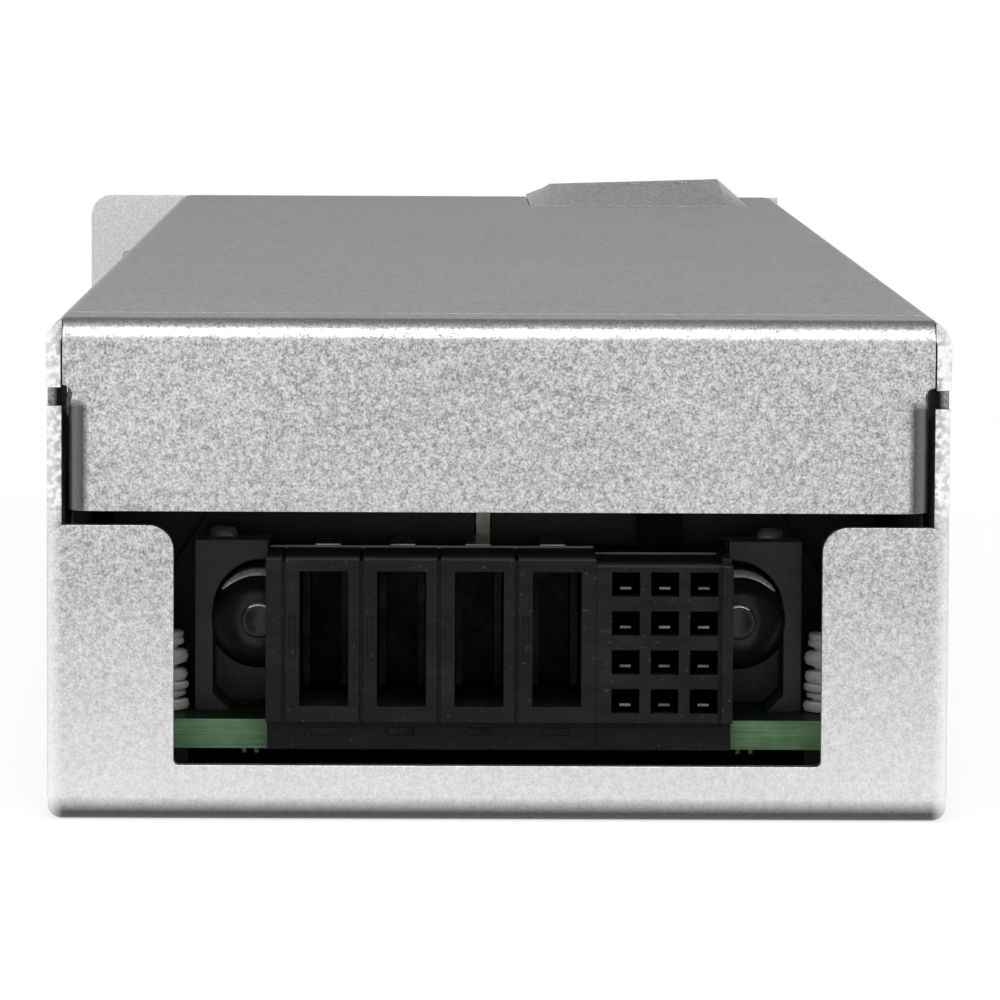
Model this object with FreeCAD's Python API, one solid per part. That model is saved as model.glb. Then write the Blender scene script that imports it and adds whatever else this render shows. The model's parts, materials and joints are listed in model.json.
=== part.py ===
"""Hot swap server power supply: a sheet-metal module with a blind-mate output connector at one end and
the mains inlet, fan, latch and pull bail at the other.

Millimetres, +Z up. The origin is the middle of the tray's underside. +Y points at the mains end.
"""
import FreeCAD, Part
import math
import os
from FreeCAD import Vector

# ---- driving dimensions: case -------------------------------------------------------------------
case_width = 73.5
case_height = 41.0
case_length = 265.0
sheet = 1.2                      # case sheet thickness
bend_inside = 0.8                # inside radius of every sheet bend
slip = 0.1                       # clearance between nested sheet parts
cover_flange_depth = 5.6         # how far the cover's side flanges reach down
flange_gap = 1.6                 # open height between the cover's flange and the tray wall below it
joggle_drop = 0.8                # the tray wall starts to step inwards this far below its top
joggle_rise = 1.2                # height over which it steps
lip_gap = 0.8                    # between the tray's upper lip and the cover's underside
lip_start = 9.0                  # the tray's upper lip begins this far behind the connector end
tab_start = 2.6                  # the small tab in front of the lip begins here

# connector end of the case
face_inset = 0.15                # end faces stop this far short of the case sides
mouth_width = 52.8
mouth_bottom = 4.6
post_top = 24.2
post_outer_round = 1.6
post_inner_round = 2.1
post_foot_round = 1.3
flap_gap = 0.15                  # flap's edge to the inside of the cover's flange
flap_neck_gap = 0.55             # flap's bent return to the inside of the tray wall
mouth_gap = 1.15                 # between the posts' tops and the flap's lower edge
flap_return_rise = 0.6           # the return's top stands this far above the tray wall's top
flap_return_depth = 6.0
flap_top_run = 4.0               # the flap's own share of the cover's top
relief_radius = 0.8
crease_back = 9.2                # shallow pressed line across the cover's top
crease_width = 0.4
crease_depth = 0.12

# case screws
cover_screw_rows = (190.0,)
cover_screw_drop = 3.7
panel_screw_back = 6.0
panel_screw_heights = (18.0,)
screw_radius = 1.45

# ---- board --------------------------------------------------------------------------------------
board_thickness = 2.4
board_bottom = 5.4
board_front = 5.0
board_end_gap = 33.0             # from the board's far end to the mains end of the case
board_side_gap = 1.75            # board's edge to the inside of the tray wall
stud_x = 28.4
stud_back = 12.0
stud_radius = 1.5
stud_top = 15.4
hole_gap = 0.15                  # radial clearance of a stud in the board
nut_across = 5.5
nut_height = 4.2
washer_radius = 2.9
washer_height = 2.4
solder_gap = 0.02                # leads stop this far above the board's face
can_lift = 0.1                   # parts that stand on the board
standoff_across = 5.6
screw_rows = (103.0, 222.0)
screw_x = 31.0
board_screw_radius = 2.75
board_screw_height = 1.8

# ---- output connector ---------------------------------------------------------------------------
connector_x = 0.15               # middle of the connector
connector_face = 2.0
nose_half = 19.1
nose_depth = 11.6
nose_lift = 0.1                  # heights from here on are counted from the board's top
nose_height = 13.35
signal_roof_step = 0.5
key_width = 0.9                  # raised key at the end of the signal module
seam_groove = 0.3
seam_wall = 1.15                 # from a module's seam to its slot
joint_gap = 0.02                 # between mouldings that sit side by side
body_drop = 1.0                  # the body's roof lies this far below the nose's
body_depth = 13.8
skirt_front = 3.4                # the skirt hangs in front of the board's edge
skirt_clearance = 0.1
power_pitch = 6.35
power_slot_width = 4.0
power_slot_height = 11.1
power_slot_lift = 1.4
power_slot_first = -16.2
power_slot_count = 4
power_slot_depth = 20.0
blade = 0.6
blade_back = 11.0                # the blades begin this far inside the slot
foot_width = 2.1
foot_height = 0.55
foot_drop = 1.2
signal_first_x = 9.33
signal_pitch = 3.2
signal_columns = 3
signal_rows = 4
signal_cell_width = 2.28
signal_cell_height = 2.02
signal_first_lift = 0.9
signal_depth = 11.0
signal_width = 0.9
signal_thickness = 0.2
body_half = 25.2
guide_face = 11.0
guide_rise = 14.25
guide_shelf_rise = 13.2          # the ear behind the arch
guide_wall = 3.0
guide_x = 19.9
guide_post_rise = 7.7
guide_radius = 4.2
guide_tip_radius = 1.3
guide_tip_reach = 1.8            # the post's tip stands this far out of the arch's face
guide_taper = 2.6
pocket_half = 23.7
pocket_rise = 12.7
pocket_round = 4.3
pocket_chamfer = 1.4
pocket_depth = 7.0
ear_screw_x = 23.3
ear_screw_radius = 1.25
ear_screw_height = 1.0
ear_screw_back = 3.6
tail_skin = 0.45
tail_run = 3.4
tail_overlap = 5.4
lock_x = 20.75
lock_spacing = 1.05
lock_width = 0.36
lock_back = 3.0
lock_reach = 1.8
barrier_skin = 0.4
barrier_places = (32.4, 34.6)
barrier_top = 31.0
barrier_half = 33.0
barrier_slope_low = 10.0
barrier_slope_high = 24.4
barrier_slope_half = 23.4

# ---- inside the case ----------------------------------------------------------------------------
output_can_radius = 5.0
output_can_height = 20.0
output_can_x = (-24.0, 14.0, 26.0)
output_can_rows = (41.0, 53.0)
bar_skin = 1.2
bar_places = ((-1.6, 16.2), (5.0, 11.2))   # left x and height of each bar
bar_start = 31.2
bar_end = 66.0
bar_lift = 1.6
bar_foot = 3.0
bar_feet = (37.0, 48.0, 61.0)
core_x = 0.0
core_start = 70.0
core_length = 28.0
core_half = 17.0
core_leg = 5.0                   # width of the outer legs and half that of the middle one
core_lift = 1.0
core_height = 26.0
winding_gap = 0.3
winding_reach = 3.5
winding_round = 3.0
bobbin_gap = 0.2
sink_height = 26.0
fin_skin = 1.5
fin_reach = 5.0
output_sink = (-29.5, 2.5, 6, 64.0, 36.0)   # x, plate thickness, fins, start, length
switch_sink = (19.5, 2.0, 7, 106.0, 44.0)
transistor_rows = (108.0, 121.0, 134.0)
transistor_width = 10.0
transistor_skin = 4.5
transistor_lift = 7.0
transistor_tab = 6.0
transistor_pitch = 2.6
tab_skin = 1.3
leg_out = 2.6                    # the legs stand this far out from the sink's face
leg_skin = 0.7
bulk_x = (-21.5, 2.5)
bulk_radius = 11.5
bulk_start = 106.0
bulk_length = 44.0
bulk_lift = 0.3
card_x = 27.2
card_skin = 1.6
card_start = 108.0
card_length = 52.0
card_height = 24.0
chip_places = ((112.0, 11.0, 9.0), (126.0, 9.0, 12.0), (143.0, 13.0, 8.0))   # depth, height, size
chip_skin = 1.5
choke_x = -18.0
choke_depth = 172.0
choke_outer = 13.0
choke_inner = 7.0
choke_width = 11.0
choke_wire = 1.6
choke_turns = 20
choke_rise = 2.4
emi_x = 18.0
emi_depth = 196.0
emi_outer = 10.0
emi_inner = 5.5
emi_width = 10.0
emi_wire = 1.3
emi_turns = 16
emi_rise = 2.0
turn_gap = 0.12
bridge_x = 3.0
bridge_skin = 5.0
bridge_start = 163.0
bridge_length = 25.0
bridge_lift = 5.0
bridge_height = 19.0
bridge_hole_radius = 1.8
bridge_hole_drop = 4.0
bridge_leads = 4
bridge_pitch = 6.0
bridge_lead = 1.2
filter_x = -30.0
filter_width = 26.0
filter_start = 196.0
filter_length = 12.0
filter_height = 19.0
relay_start = 212.0
relay_width = 18.0
relay_length = 6.0
relay_height = 15.0
fuse_x = 3.0
fuse_radius = 2.6
fuse_length = 22.0
fuse_depth = 214.0
fuse_rise = 4.0
fuse_leg = 1.0
fuse_leg_inset = 2.0

# ---- mains end ----------------------------------------------------------------------------------
panel_sheet = 1.2
ear_reach = 10.3                 # how far the ear stands out past the case side
ear_height = 24.0
ear_round = 2.4
ear_hole_radius = 1.7
ear_hole_drop = 14.0
ear_hole_out = 5.7
fan_size = 36.0
fan_depth = 28.0
fan_hole_inset = 3.0
fan_wall_gap = 0.15
fan_z = 20.2
fan_rim = 1.1
fan_tip_gap = 0.6
fan_hub_radius = 9.0
fan_blades = 5
fan_hub_wall = 1.4
fan_hub_floor = 2.0
fan_hub_inset = 1.5              # the hub's face lies this far inside the frame's
fan_strut_space = 3.6
fan_shaft_reach = 2.4
fan_blade_inset = 1.5
fan_camber = 1.2
fan_root_lean = 18.0             # blade angles in degrees
fan_tip_lean = 32.0
fan_root_skin = 0.6
fan_tip_skin = 0.4
fan_shaft_radius = 1.5
fan_flange = 3.5
fan_gap = 0.05
running_gap = 0.05               # radial clearance of a shaft in its hole
grille_ring = 3.2
grille_web = 1.4
grille_rings = 3
fan_head_radius = 2.7
fan_head_height = 1.2
inlet_side_gap = 2.85
inlet_z = 19.6
inlet_body_width = 27.0
inlet_body_height = 19.6
inlet_flange_width = 30.0
inlet_flange_height = 22.4
inlet_flange = 1.5
inlet_recess_width = 24.2
inlet_recess_height = 16.4
inlet_recess_depth = 16.0
inlet_depth = 21.0
inlet_gap = 0.2
pin_spread = 7.0
pin_rise = 2.0
pin_width = 2.0
pin_height = 4.0
pin_length = 13.0
pin_tail = 4.0
pin_blunt = 0.2
lead_width = 2.2
led_side_gap = 5.75
led_z = 4.6
led_radius = 1.5
led_length = 4.6
rivet_radius = 1.2
rivet_gap = 0.02
tab_reach = 10.0
tab_half = 8.0
bail_wire = 1.5                  # half the width and thickness of the bail's bar
bail_pin = 1.3
bail_span = 30.6
bail_drop = 20.0
bail_pivot_z = 26.0
bail_stand = 4.2                 # height of the pivot above the panel's face
bracket_depth = 7.0
bracket_foot = 3.4
bracket_round = 2.2
tongue_left = 6.0
tongue_right = 31.8
tongue_crest_left = 8.8
tongue_crest_right = 29.2
tongue_length = 29.0
tongue_overhang = 6.0
tongue_rise_left = 1.6
tongue_rise_right = 2.25
tongue_holes = (19.1, 24.8)
tongue_notch_drop = 5.0
tongue_gap = 0.6
side_spring_root = 118.0
side_spring_length = 43.0
side_spring_rise = 1.3
side_spring_sheet = 0.6
side_spring_drop = 1.9
side_spring_width = 3.2
lance_gap = 0.12                 # gap cut round a lanced spring

# ---- worked out ---------------------------------------------------------------------------------
half = case_width / 2
front = -case_length / 2
back = case_length / 2
inside = half - sheet
lip_out = inside - slip
bend = sheet + bend_inside
cover_flange_bottom = case_height - cover_flange_depth
tray_wall_top = cover_flange_bottom - flange_gap
lip_top = case_height - sheet - lip_gap
face_half = half - face_inset
flap_half = inside - flap_gap
neck_half = inside - flap_neck_gap
flap_bottom = post_top + mouth_gap
flap_return_top = tray_wall_top + flap_return_rise
cover_screw_z = case_height - cover_screw_drop
screw_length = 2 * sheet + slip
board_half = inside - board_side_gap
board_top = board_bottom + board_thickness
board_back = case_length - board_end_gap
panel_back = back - panel_sheet
nose_left = connector_x - nose_half
nose_right = connector_x + nose_half
body_front = connector_face + nose_depth
body_back = body_front + body_depth
nose_bottom = board_top + nose_lift
nose_top = nose_bottom + nose_height
body_roof = nose_top - body_drop
power_slot_bottom = board_top + power_slot_lift
signal_first_z = board_top + signal_first_lift
guide_top = board_top + guide_rise
guide_shelf = board_top + guide_shelf_rise
guide_z = board_top + guide_post_rise
pocket_top = board_top + pocket_rise
choke_z = board_top + choke_outer + choke_rise
emi_z = board_top + emi_outer + emi_rise
signal_split = power_slot_first + power_slot_count * power_pitch - seam_wall
fan_throat = fan_size / 2 - fan_rim
fan_x = fan_size / 2 + fan_wall_gap - (lip_out - sheet)
inlet_x = half - inlet_side_gap - inlet_flange_width / 2
led_x = half - led_side_gap
tongue_root = case_length - tongue_length
side_spring_high = case_height - side_spring_drop
side_spring_low = side_spring_high - side_spring_width

X = Vector(1, 0, 0)
Y = Vector(0, 1, 0)
Z = Vector(0, 0, 1)


# ---- helpers ------------------------------------------------------------------------------------
def behind(depth):
    """Y of a plane this far behind the connector end."""
    return front + depth


def box(x0, x1, y0, y1, z0, z1):
    return Part.makeBox(x1 - x0, y1 - y0, z1 - z0, Vector(x0, y0, z0))


def rod(radius, x, y, z, along, length):
    return Part.makeCylinder(radius, length, Vector(x, y, z), along)


def group(solids):
    return Part.makeCompound(solids)


def joined(first, others):
    return first.fuse(others).removeSplitter()


def xz_point(y):
    return lambda u, v: Vector(u, y, v)


def yz_point(x):
    return lambda u, v: Vector(x, u, v)


def xy_point(z):
    return lambda u, v: Vector(u, v, z)


def outline(corners, place):
    """Closed wire through corners given as (u, v, radius)."""
    edges = []
    stops = []
    count = len(corners)
    for index, (u, v, radius) in enumerate(corners):
        here = Vector(u, v, 0)
        last = Vector(*corners[index - 1][:2], 0)
        following = Vector(*corners[(index + 1) % count][:2], 0)
        if radius <= 0:
            stops.append((here, None, here))
            continue
        towards_last = (last - here).normalize()
        towards_next = (following - here).normalize()
        half_angle = towards_last.getAngle(towards_next) / 2
        inwards = (towards_last + towards_next).normalize()
        run = radius / math.tan(half_angle)
        middle = here + inwards * (radius / math.sin(half_angle) - radius)
        stops.append((here + towards_last * run, middle, here + towards_next * run))
    for index, (start, middle, end) in enumerate(stops):
        before = stops[index - 1][2]
        if before.distanceToPoint(start) > 1e-6:
            edges.append(Part.makeLine(place(before.x, before.y), place(start.x, start.y)))
        if middle is not None:
            points = [place(p.x, p.y) for p in (start, middle, end)]
            edges.append(Part.Arc(*points).toShape())
    return Part.Wire(edges)


def prism(corners, place, sweep):
    """Solid made by sweeping a closed outline in a straight line."""
    return Part.Face(outline(corners, place)).extrude(sweep)


def folded_sheet(path, thickness, place, sweep):
    """Bent strip: path is one face of the sheet, and the sheet lies on the path's right-hand side."""
    points = [Vector(u, v, 0) for u, v in path]
    directions = [(b - a).normalize() for a, b in zip(points, points[1:])]
    normals = [Vector(d.y, -d.x, 0) for d in directions]
    near = [(points[0].x, points[0].y, 0)]
    start = points[0] + normals[0] * thickness
    far = [(start.x, start.y, 0)]
    for index in range(1, len(points) - 1):
        before = directions[index - 1]
        after = directions[index]
        turn = before.x * after.y - before.y * after.x
        mitre = (normals[index - 1] + normals[index]).normalize()
        reach = thickness / mitre.dot(normals[index])
        corner = points[index] + mitre * reach
        outer = bend_inside + thickness
        near_radius = outer if turn < 0 else bend_inside
        far_radius = bend_inside if turn < 0 else outer
        near.append((points[index].x, points[index].y, near_radius))
        far.append((corner.x, corner.y, far_radius))
    end = points[-1] + normals[-1] * thickness
    near.append((points[-1].x, points[-1].y, 0))
    far.append((end.x, end.y, 0))
    return prism(near + far[::-1], place, sweep)


def hexagon(across, x, y, z, height):
    """Upright hexagonal prism, measured across its flats."""
    radius = across / math.sqrt(3)
    corners = []
    for step in range(6):
        angle = math.radians(60 * step + 30)
        corners.append((x + radius * math.cos(angle), y + radius * math.sin(angle), 0))
    return prism(corners, xy_point(z), Z * height)


def countersink(side, y, z, length, gap=0.0):
    """Flat-head screw, or its hole when a gap is given, let into the case side."""
    radius = screw_radius + gap
    head = Part.makeCone(radius + screw_radius * 0.7, radius, sheet, Vector(side * half, y, z), X * -side)
    shank = rod(radius, side * half, y, z, X * -side, length)
    return head.fuse(shank)


def save(node, shape):
    shape.exportStep("parts/" + node + ".step")


# ---- case ---------------------------------------------------------------------------------------
def case_screw_places():
    """Side, y and z of every screw let into the case sides."""
    cover = [(side, behind(row), cover_screw_z) for side in (-1, 1) for row in cover_screw_rows]
    panel = [(side, back - panel_screw_back, z) for side in (-1, 1) for z in panel_screw_heights]
    return cover, panel


def chassis_tray():
    """Floor, walls with an inward-stepped upper lip, and the end face with the connector's mouth."""
    step_low = tray_wall_top - joggle_drop
    wall_start = behind(sheet + slip)
    low_path = [(half, tray_wall_top), (half, 0), (-half, 0), (-half, tray_wall_top)]
    full_path = [
        (lip_out, lip_top),
        (lip_out, step_low + joggle_rise),
        (half, step_low),
        (half, 0),
        (-half, 0),
        (-half, step_low),
        (-lip_out, step_low + joggle_rise),
        (-lip_out, lip_top),
    ]
    low = folded_sheet(low_path, sheet, xz_point(wall_start), Y * (lip_start - sheet - slip))
    full = folded_sheet(full_path, sheet, xz_point(behind(lip_start)), Y * (panel_back - slip - behind(lip_start)))
    low = low.cut(box(-half, half, wall_start, behind(bend), 0, bend))
    tabs = []
    for side in (-1, 1):
        low_x, high_x = sorted((side * inside, side * half))
        tabs.append(box(low_x, high_x, behind(tab_start), behind(lip_start + sheet),
                        tray_wall_top - sheet, cover_flange_bottom - slip))

    face_path = [(behind(3 * sheet), 0), (front, 0), (front, post_top)]
    face = folded_sheet(face_path, sheet, yz_point(-face_half), X * (2 * face_half))
    mouth = mouth_width / 2
    shape = [
        (-face_half, 0, post_foot_round),
        (-face_half, post_top, post_outer_round),
        (-mouth, post_top, post_inner_round),
        (-mouth, mouth_bottom, bend_inside / 2),
        (mouth, mouth_bottom, bend_inside / 2),
        (mouth, post_top, post_inner_round),
        (face_half, post_top, post_outer_round),
        (face_half, 0, post_foot_round),
    ]
    face = face.common(prism(shape, xz_point(front), Y * (3 * sheet)))
    tray = joined(low, [full, face] + tabs)

    cuts = []
    cover_places, panel_places = case_screw_places()
    for place in panel_places:
        cuts.append(countersink(*place, screw_length, slip / 2))
    for side, y, z in cover_places:
        cuts.append(rod(screw_radius + slip / 2, side * half, y, z, X * -side, screw_length))
    return tray.cut(cuts)


def top_cover():
    """Lid with short side flanges and a front flap whose bent returns reach down beside the posts."""
    over_path = [
        (-half, cover_flange_bottom),
        (-half, case_height),
        (half, case_height),
        (half, cover_flange_bottom),
    ]
    shell = folded_sheet(over_path, sheet, xz_point(behind(slip)), Y * (panel_back - slip - behind(slip)))
    seam = flap_half + slip / 2
    shell = shell.cut(box(-seam, seam, front, behind(flap_top_run), cover_flange_bottom, case_height + sheet))

    flap_path = [(front, flap_bottom), (front, case_height), (behind(flap_top_run), case_height)]
    flap = folded_sheet(flap_path, sheet, yz_point(-flap_half), X * (2 * flap_half))
    for side in (-1, 1):
        cut_x = sorted((side * (neck_half - bend), side * half))
        flap = flap.cut(box(cut_x[0], cut_x[1], front - sheet, behind(bend), flap_bottom - sheet, flap_return_top))
        path = [
            (side * neck_half, behind(flap_return_depth)),
            (side * neck_half, front),
            (side * (neck_half - bend - sheet), front),
        ]
        if side < 0:
            path = path[::-1]
        flap = flap.fuse(folded_sheet(path, sheet, xy_point(flap_bottom), Z * (flap_return_top - flap_bottom)))
        relief_z = flap_return_top + relief_radius / 2
        flap = flap.cut(rod(relief_radius, side * flap_half, front - sheet, relief_z, Y, flap_return_depth + 2 * sheet))
    cover = joined(shell, [flap])

    gap = lance_gap
    cuts = [box(tongue_left - gap, tongue_right + gap, behind(tongue_root - gap), back,
                case_height - 2 * sheet, case_height + sheet)]
    cuts.append(box(-half, half, behind(crease_back), behind(crease_back + crease_width),
                    case_height - crease_depth, case_height + sheet))
    spring_end = side_spring_root + side_spring_length
    cuts.append(box(-half - sheet, -inside + slip, behind(side_spring_root - gap), behind(spring_end + gap),
                    side_spring_low - gap, side_spring_high + gap))
    for place in case_screw_places()[0]:
        cuts.append(countersink(*place, screw_length, slip / 2))
    return cover.cut(cuts)


def case_screws(places):
    return group([countersink(*place, screw_length) for place in places])


def latch_tongue():
    """Sprung strip in the cover's top: flush at its root, a raised trough-shaped ramp at its free end."""
    root_y = behind(tongue_root)
    tip_y = back + tongue_overhang

    def section(y, rise_left, rise_right, spread):
        left = tongue_left
        right = tongue_right
        crest_left = left + spread * (tongue_crest_left - left)
        crest_right = right - spread * (right - tongue_crest_right)
        top = case_height
        skin = sheet * 0.8
        points = [
            (left, top - skin),
            (left, top),
            (crest_left, top + rise_left),
            (crest_right, top + rise_right),
            (right, top),
            (right, top - skin),
            (crest_right, top + rise_right - skin),
            (crest_left, top + rise_left - skin),
        ]
        corners = [Vector(u, y, v) for u, v in points]
        return Part.makePolygon(corners + corners[:1])

    flat = 0.02
    ramp = Part.makeLoft([
        section(root_y, flat, flat, 1.0),
        section(back - 2.0, tongue_rise_left, tongue_rise_right, 1.0),
    ], True, True)
    pad = Part.makeLoft([
        section(back - 2.0, tongue_rise_left, tongue_rise_right, 1.0),
        section(tip_y, tongue_rise_left - 0.5, tongue_rise_right - 0.5, 1.0),
    ], True, True)
    tongue = joined(ramp, [pad])
    for x in tongue_holes:
        tongue = tongue.cut(rod(1.0, x, back - 5.0, case_height - 3 * sheet, Z, 8 * sheet))
    return tongue


def side_spring():
    """Lanced leaf in the cover's left flange: it swells outwards and ends in a short turned-in tip."""
    skin = side_spring_sheet
    root = behind(side_spring_root)
    face = -half + slip / 2
    peak = face - side_spring_rise
    reach = side_spring_length
    path = [
        (face, root),
        (face, root + 0.12 * reach),
        (peak, root + 0.88 * reach),
        (peak + 0.5, root + reach),
    ]
    return folded_sheet(path, skin, xy_point(side_spring_low), Z * (side_spring_high - side_spring_low))


liner_skin = 0.4
liner_lift = 0.3
liner_gap = 0.5
liner_start = 4.6
liner_slope = 12.0


def insulator_liner():
    """Folded film in the tray, cut back at a slant at the connector end."""
    floor = sheet + liner_lift
    wall = inside - liner_gap
    path = [(wall, barrier_top), (wall, floor), (-wall, floor), (-wall, barrier_top)]
    liner = folded_sheet(path, liner_skin, xz_point(behind(liner_start)), Y * (board_back - liner_start))
    nose = [
        (front, mouth_bottom * 3, 0),
        (behind(liner_slope), barrier_top + sheet, 0),
        (front, barrier_top + sheet, 0),
    ]
    cuts = [prism(nose, yz_point(-half), X * case_width)]
    reach = standoff_across / 2 + liner_gap
    for x, y in standoff_places():
        cuts.append(box(x - reach, x + reach, y - reach, y + reach, sheet, board_bottom))
    return liner.cut(cuts)


def front_barrier():
    """Two film walls across the case behind the connector; the front one has slanted shoulders."""
    low = board_top + solder_gap
    first, second = [behind(place) for place in barrier_places]
    shoulders = [
        (-barrier_half, low, 0),
        (-barrier_half, barrier_slope_low, 0),
        (-barrier_slope_half, barrier_slope_high, 0),
        (-barrier_slope_half, barrier_top, 0),
        (barrier_slope_half, barrier_top, 0),
        (barrier_slope_half, barrier_slope_high, 0),
        (barrier_half, barrier_slope_low, 0),
        (barrier_half, low, 0),
    ]
    films = [
        prism(shoulders, xz_point(first), Y * barrier_skin),
        box(-barrier_half, barrier_half, second, second + barrier_skin, low, barrier_top),
    ]
    gap = slip
    slots = [box(x - gap, x + bar_skin + gap, first - 1, second + 1, low - 1,
                 board_top + top + gap) for x, top in bar_places]
    return group([film.cut(slots) for film in films])


# ---- board --------------------------------------------------------------------------------------
def standoff_places():
    places = [(side * stud_x, behind(stud_back)) for side in (-1, 1)]
    for row in screw_rows:
        places += [(side * screw_x, behind(row)) for side in (-1, 1)]
    return places


def main_board():
    board = box(-board_half, board_half, behind(board_front), behind(board_back), board_bottom, board_top)
    cuts = [rod(stud_radius + hole_gap, x, y, 0, Z, case_height) for x, y in standoff_places()[:2]]
    reach = lock_width / 2 + slip
    cuts += [box(x - reach, x + reach, y - reach, y + reach, 0, case_height) for x, y in board_lock_places()]
    return board.cut(cuts)


def board_standoffs():
    """Hex pillars on the tray floor: the front pair carries threaded studs, the others are capped by screws."""
    solids = []
    for index, (x, y) in enumerate(standoff_places()):
        pillar = hexagon(standoff_across, x, y, sheet, board_bottom - sheet)
        if index < 2:
            stud = rod(stud_radius, x, y, board_bottom - sheet, Z, stud_top - board_bottom + sheet)
            pillar = joined(pillar, [stud])
        solids.append(pillar)
    return group(solids)


def board_washers():
    solids = []
    for x, y in standoff_places()[:2]:
        ring = rod(washer_radius, x, y, board_top, Z, washer_height)
        solids.append(ring.cut(rod(stud_radius + 0.1, x, y, 0, Z, case_height)))
    return group(solids)


def board_nuts():
    solids = []
    for x, y in standoff_places()[:2]:
        nut = hexagon(nut_across, x, y, board_top + washer_height, nut_height)
        solids.append(nut.cut(rod(stud_radius + 0.03, x, y, 0, Z, case_height)))
    return group(solids)


def board_screws():
    return group([rod(board_screw_radius, x, y, board_top, Z, board_screw_height) for x, y in standoff_places()[2:]])


# ---- output connector ---------------------------------------------------------------------------
def power_slots():
    """Left x of each power slot."""
    return [power_slot_first + index * power_pitch for index in range(power_slot_count)]


def signal_cells():
    """Left x and bottom z of each signal cavity."""
    return [
        (signal_first_x + column * signal_pitch, signal_first_z + row * signal_pitch)
        for column in range(signal_columns)
        for row in range(signal_rows)
    ]


def power_housing():
    """Four ganged power modules: a nose with blade slots, a body behind it, and a skirt before the board."""
    face = behind(connector_face)
    rear = behind(body_back)
    left = nose_left
    right = signal_split
    edge = behind(board_front) - skirt_clearance
    nose = box(left, right, face, behind(body_front), nose_bottom, nose_top)
    body = box(left, right, edge + 2 * skirt_clearance, rear, board_top, nose_bottom + sheet)
    upper = box(left, right, behind(body_front - 1), rear, board_top, body_roof)
    skirt = box(left + slip, right, behind(skirt_front), edge, board_bottom + slip, nose_bottom + sheet)
    housing = joined(nose, [body, upper, skirt])
    cuts = []
    for x in power_slots():
        cuts.append(box(x, x + power_slot_width, face - 1, face + power_slot_depth,
                        power_slot_bottom, power_slot_bottom + power_slot_height))
        seam = x - seam_wall
        cuts.append(box(seam - seam_groove, seam, face - 1, face + seam_groove, nose_bottom - 1, nose_top + 1))
        cuts.append(box(seam - seam_groove, seam, face - 1, behind(body_front), nose_top - seam_groove, nose_top + 1))
        rib = box(x - seam_wall + seam_groove, x - seam_groove, face - 1, face + seam_groove / 2,
                  power_slot_bottom + power_slot_height / 3, power_slot_bottom + 2 * power_slot_height / 3)
        cuts.append(rib)
        cuts.append(foot(x, joint_gap))
    return housing.cut(cuts)


def foot(x, gap):
    """Square tab of a power contact that shows in the skirt, or its hole when a gap is given."""
    middle = x + power_slot_width / 2
    reach = foot_width / 2 + gap
    high = nose_bottom - foot_drop / 2 + gap
    return box(middle - reach, middle + reach, behind(skirt_front) - joint_gap, behind(board_front) - 2 * skirt_clearance,
               high - foot_height - 2 * gap, high)


def signal_housing():
    """Block of small cavities beside the power modules, with a raised key at its outer end."""
    face = behind(connector_face)
    rear = behind(body_back)
    roof = nose_top - signal_roof_step
    left = signal_split + joint_gap
    edge = behind(board_front) - skirt_clearance
    nose = box(left, nose_right, face, behind(body_front), nose_bottom, roof)
    key = box(nose_right - key_width, nose_right - slip, behind(connector_face + 1), behind(body_front), roof, nose_top)
    body = box(left, nose_right, edge + 2 * skirt_clearance, rear, board_top, nose_bottom + sheet)
    upper = box(left, nose_right, behind(body_front - 1), rear, board_top, body_roof)
    skirt = box(left, nose_right - slip, behind(skirt_front), edge, board_bottom + slip, nose_bottom + sheet)
    housing = joined(nose, [key, body, upper, skirt])
    cuts = []
    for x, z in signal_cells():
        cuts.append(box(x, x + signal_cell_width, face - 1, face + signal_depth, z, z + signal_cell_height))
    cuts.append(box(nose_right - key_width - seam_groove, nose_right - key_width, face - 1, face + seam_groove,
                    nose_bottom - 1, nose_top + 1))
    return housing.cut(cuts)


def guide_post(side):
    """Bullet-nosed post: a round shank, a domed taper and a flat tip."""
    x = connector_x + side * guide_x
    tip = behind(guide_face - guide_tip_reach)
    floor = behind(guide_face + pocket_depth) + slip
    shoulder = tip + guide_taper
    bulge = (guide_tip_radius + guide_radius) / 2 + guide_taper / 6

    def at(radius, y):
        return Vector(x + radius, y, guide_z)

    dome = Part.Arc(at(guide_tip_radius, tip), at(bulge, tip + guide_taper / 3), at(guide_radius, shoulder)).toShape()
    profile = Part.Wire([
        Part.makeLine(at(0, tip), at(guide_tip_radius, tip)),
        dome,
        Part.makeLine(at(guide_radius, shoulder), at(guide_radius, floor)),
        Part.makeLine(at(guide_radius, floor), at(0, floor)),
        Part.makeLine(at(0, floor), at(0, tip)),
    ])
    return Part.Face(profile).revolve(Vector(x, 0, guide_z), Y, 360)


def guide_end(side):
    """End piece beside the nose: an arched pocket round the guide post, and an ear that is screwed down."""
    inner = connector_x + side * (nose_half + joint_gap)
    outer = connector_x + side * body_half
    low, high = sorted((inner, outer))
    face = behind(guide_face)
    rear = behind(body_back)
    arch = box(low, high, face, face + guide_wall, board_top, guide_top)
    ear = box(low, high, face, rear, board_top, guide_shelf)
    block = joined(arch, [ear])
    side_wall = connector_x + side * pocket_half
    under = board_top - 1
    pocket_section = [
        (inner - side, under, 0),
        (side_wall - side * pocket_chamfer, under, 0),
        (side_wall - side * pocket_chamfer, board_top, 0),
        (side_wall, board_top + pocket_chamfer, 0),
        (side_wall, pocket_top, pocket_round),
        (inner - side, pocket_top, 0),
    ]
    block = block.cut(prism(pocket_section, xz_point(face - 1), Y * (pocket_depth + 1)))
    post = guide_post(side).common(box(low, high, behind(guide_face - guide_tip_reach), rear, board_top, guide_shelf))
    return joined(block, [post])


def guide_housings():
    return group([guide_end(-1), guide_end(1)])


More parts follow.
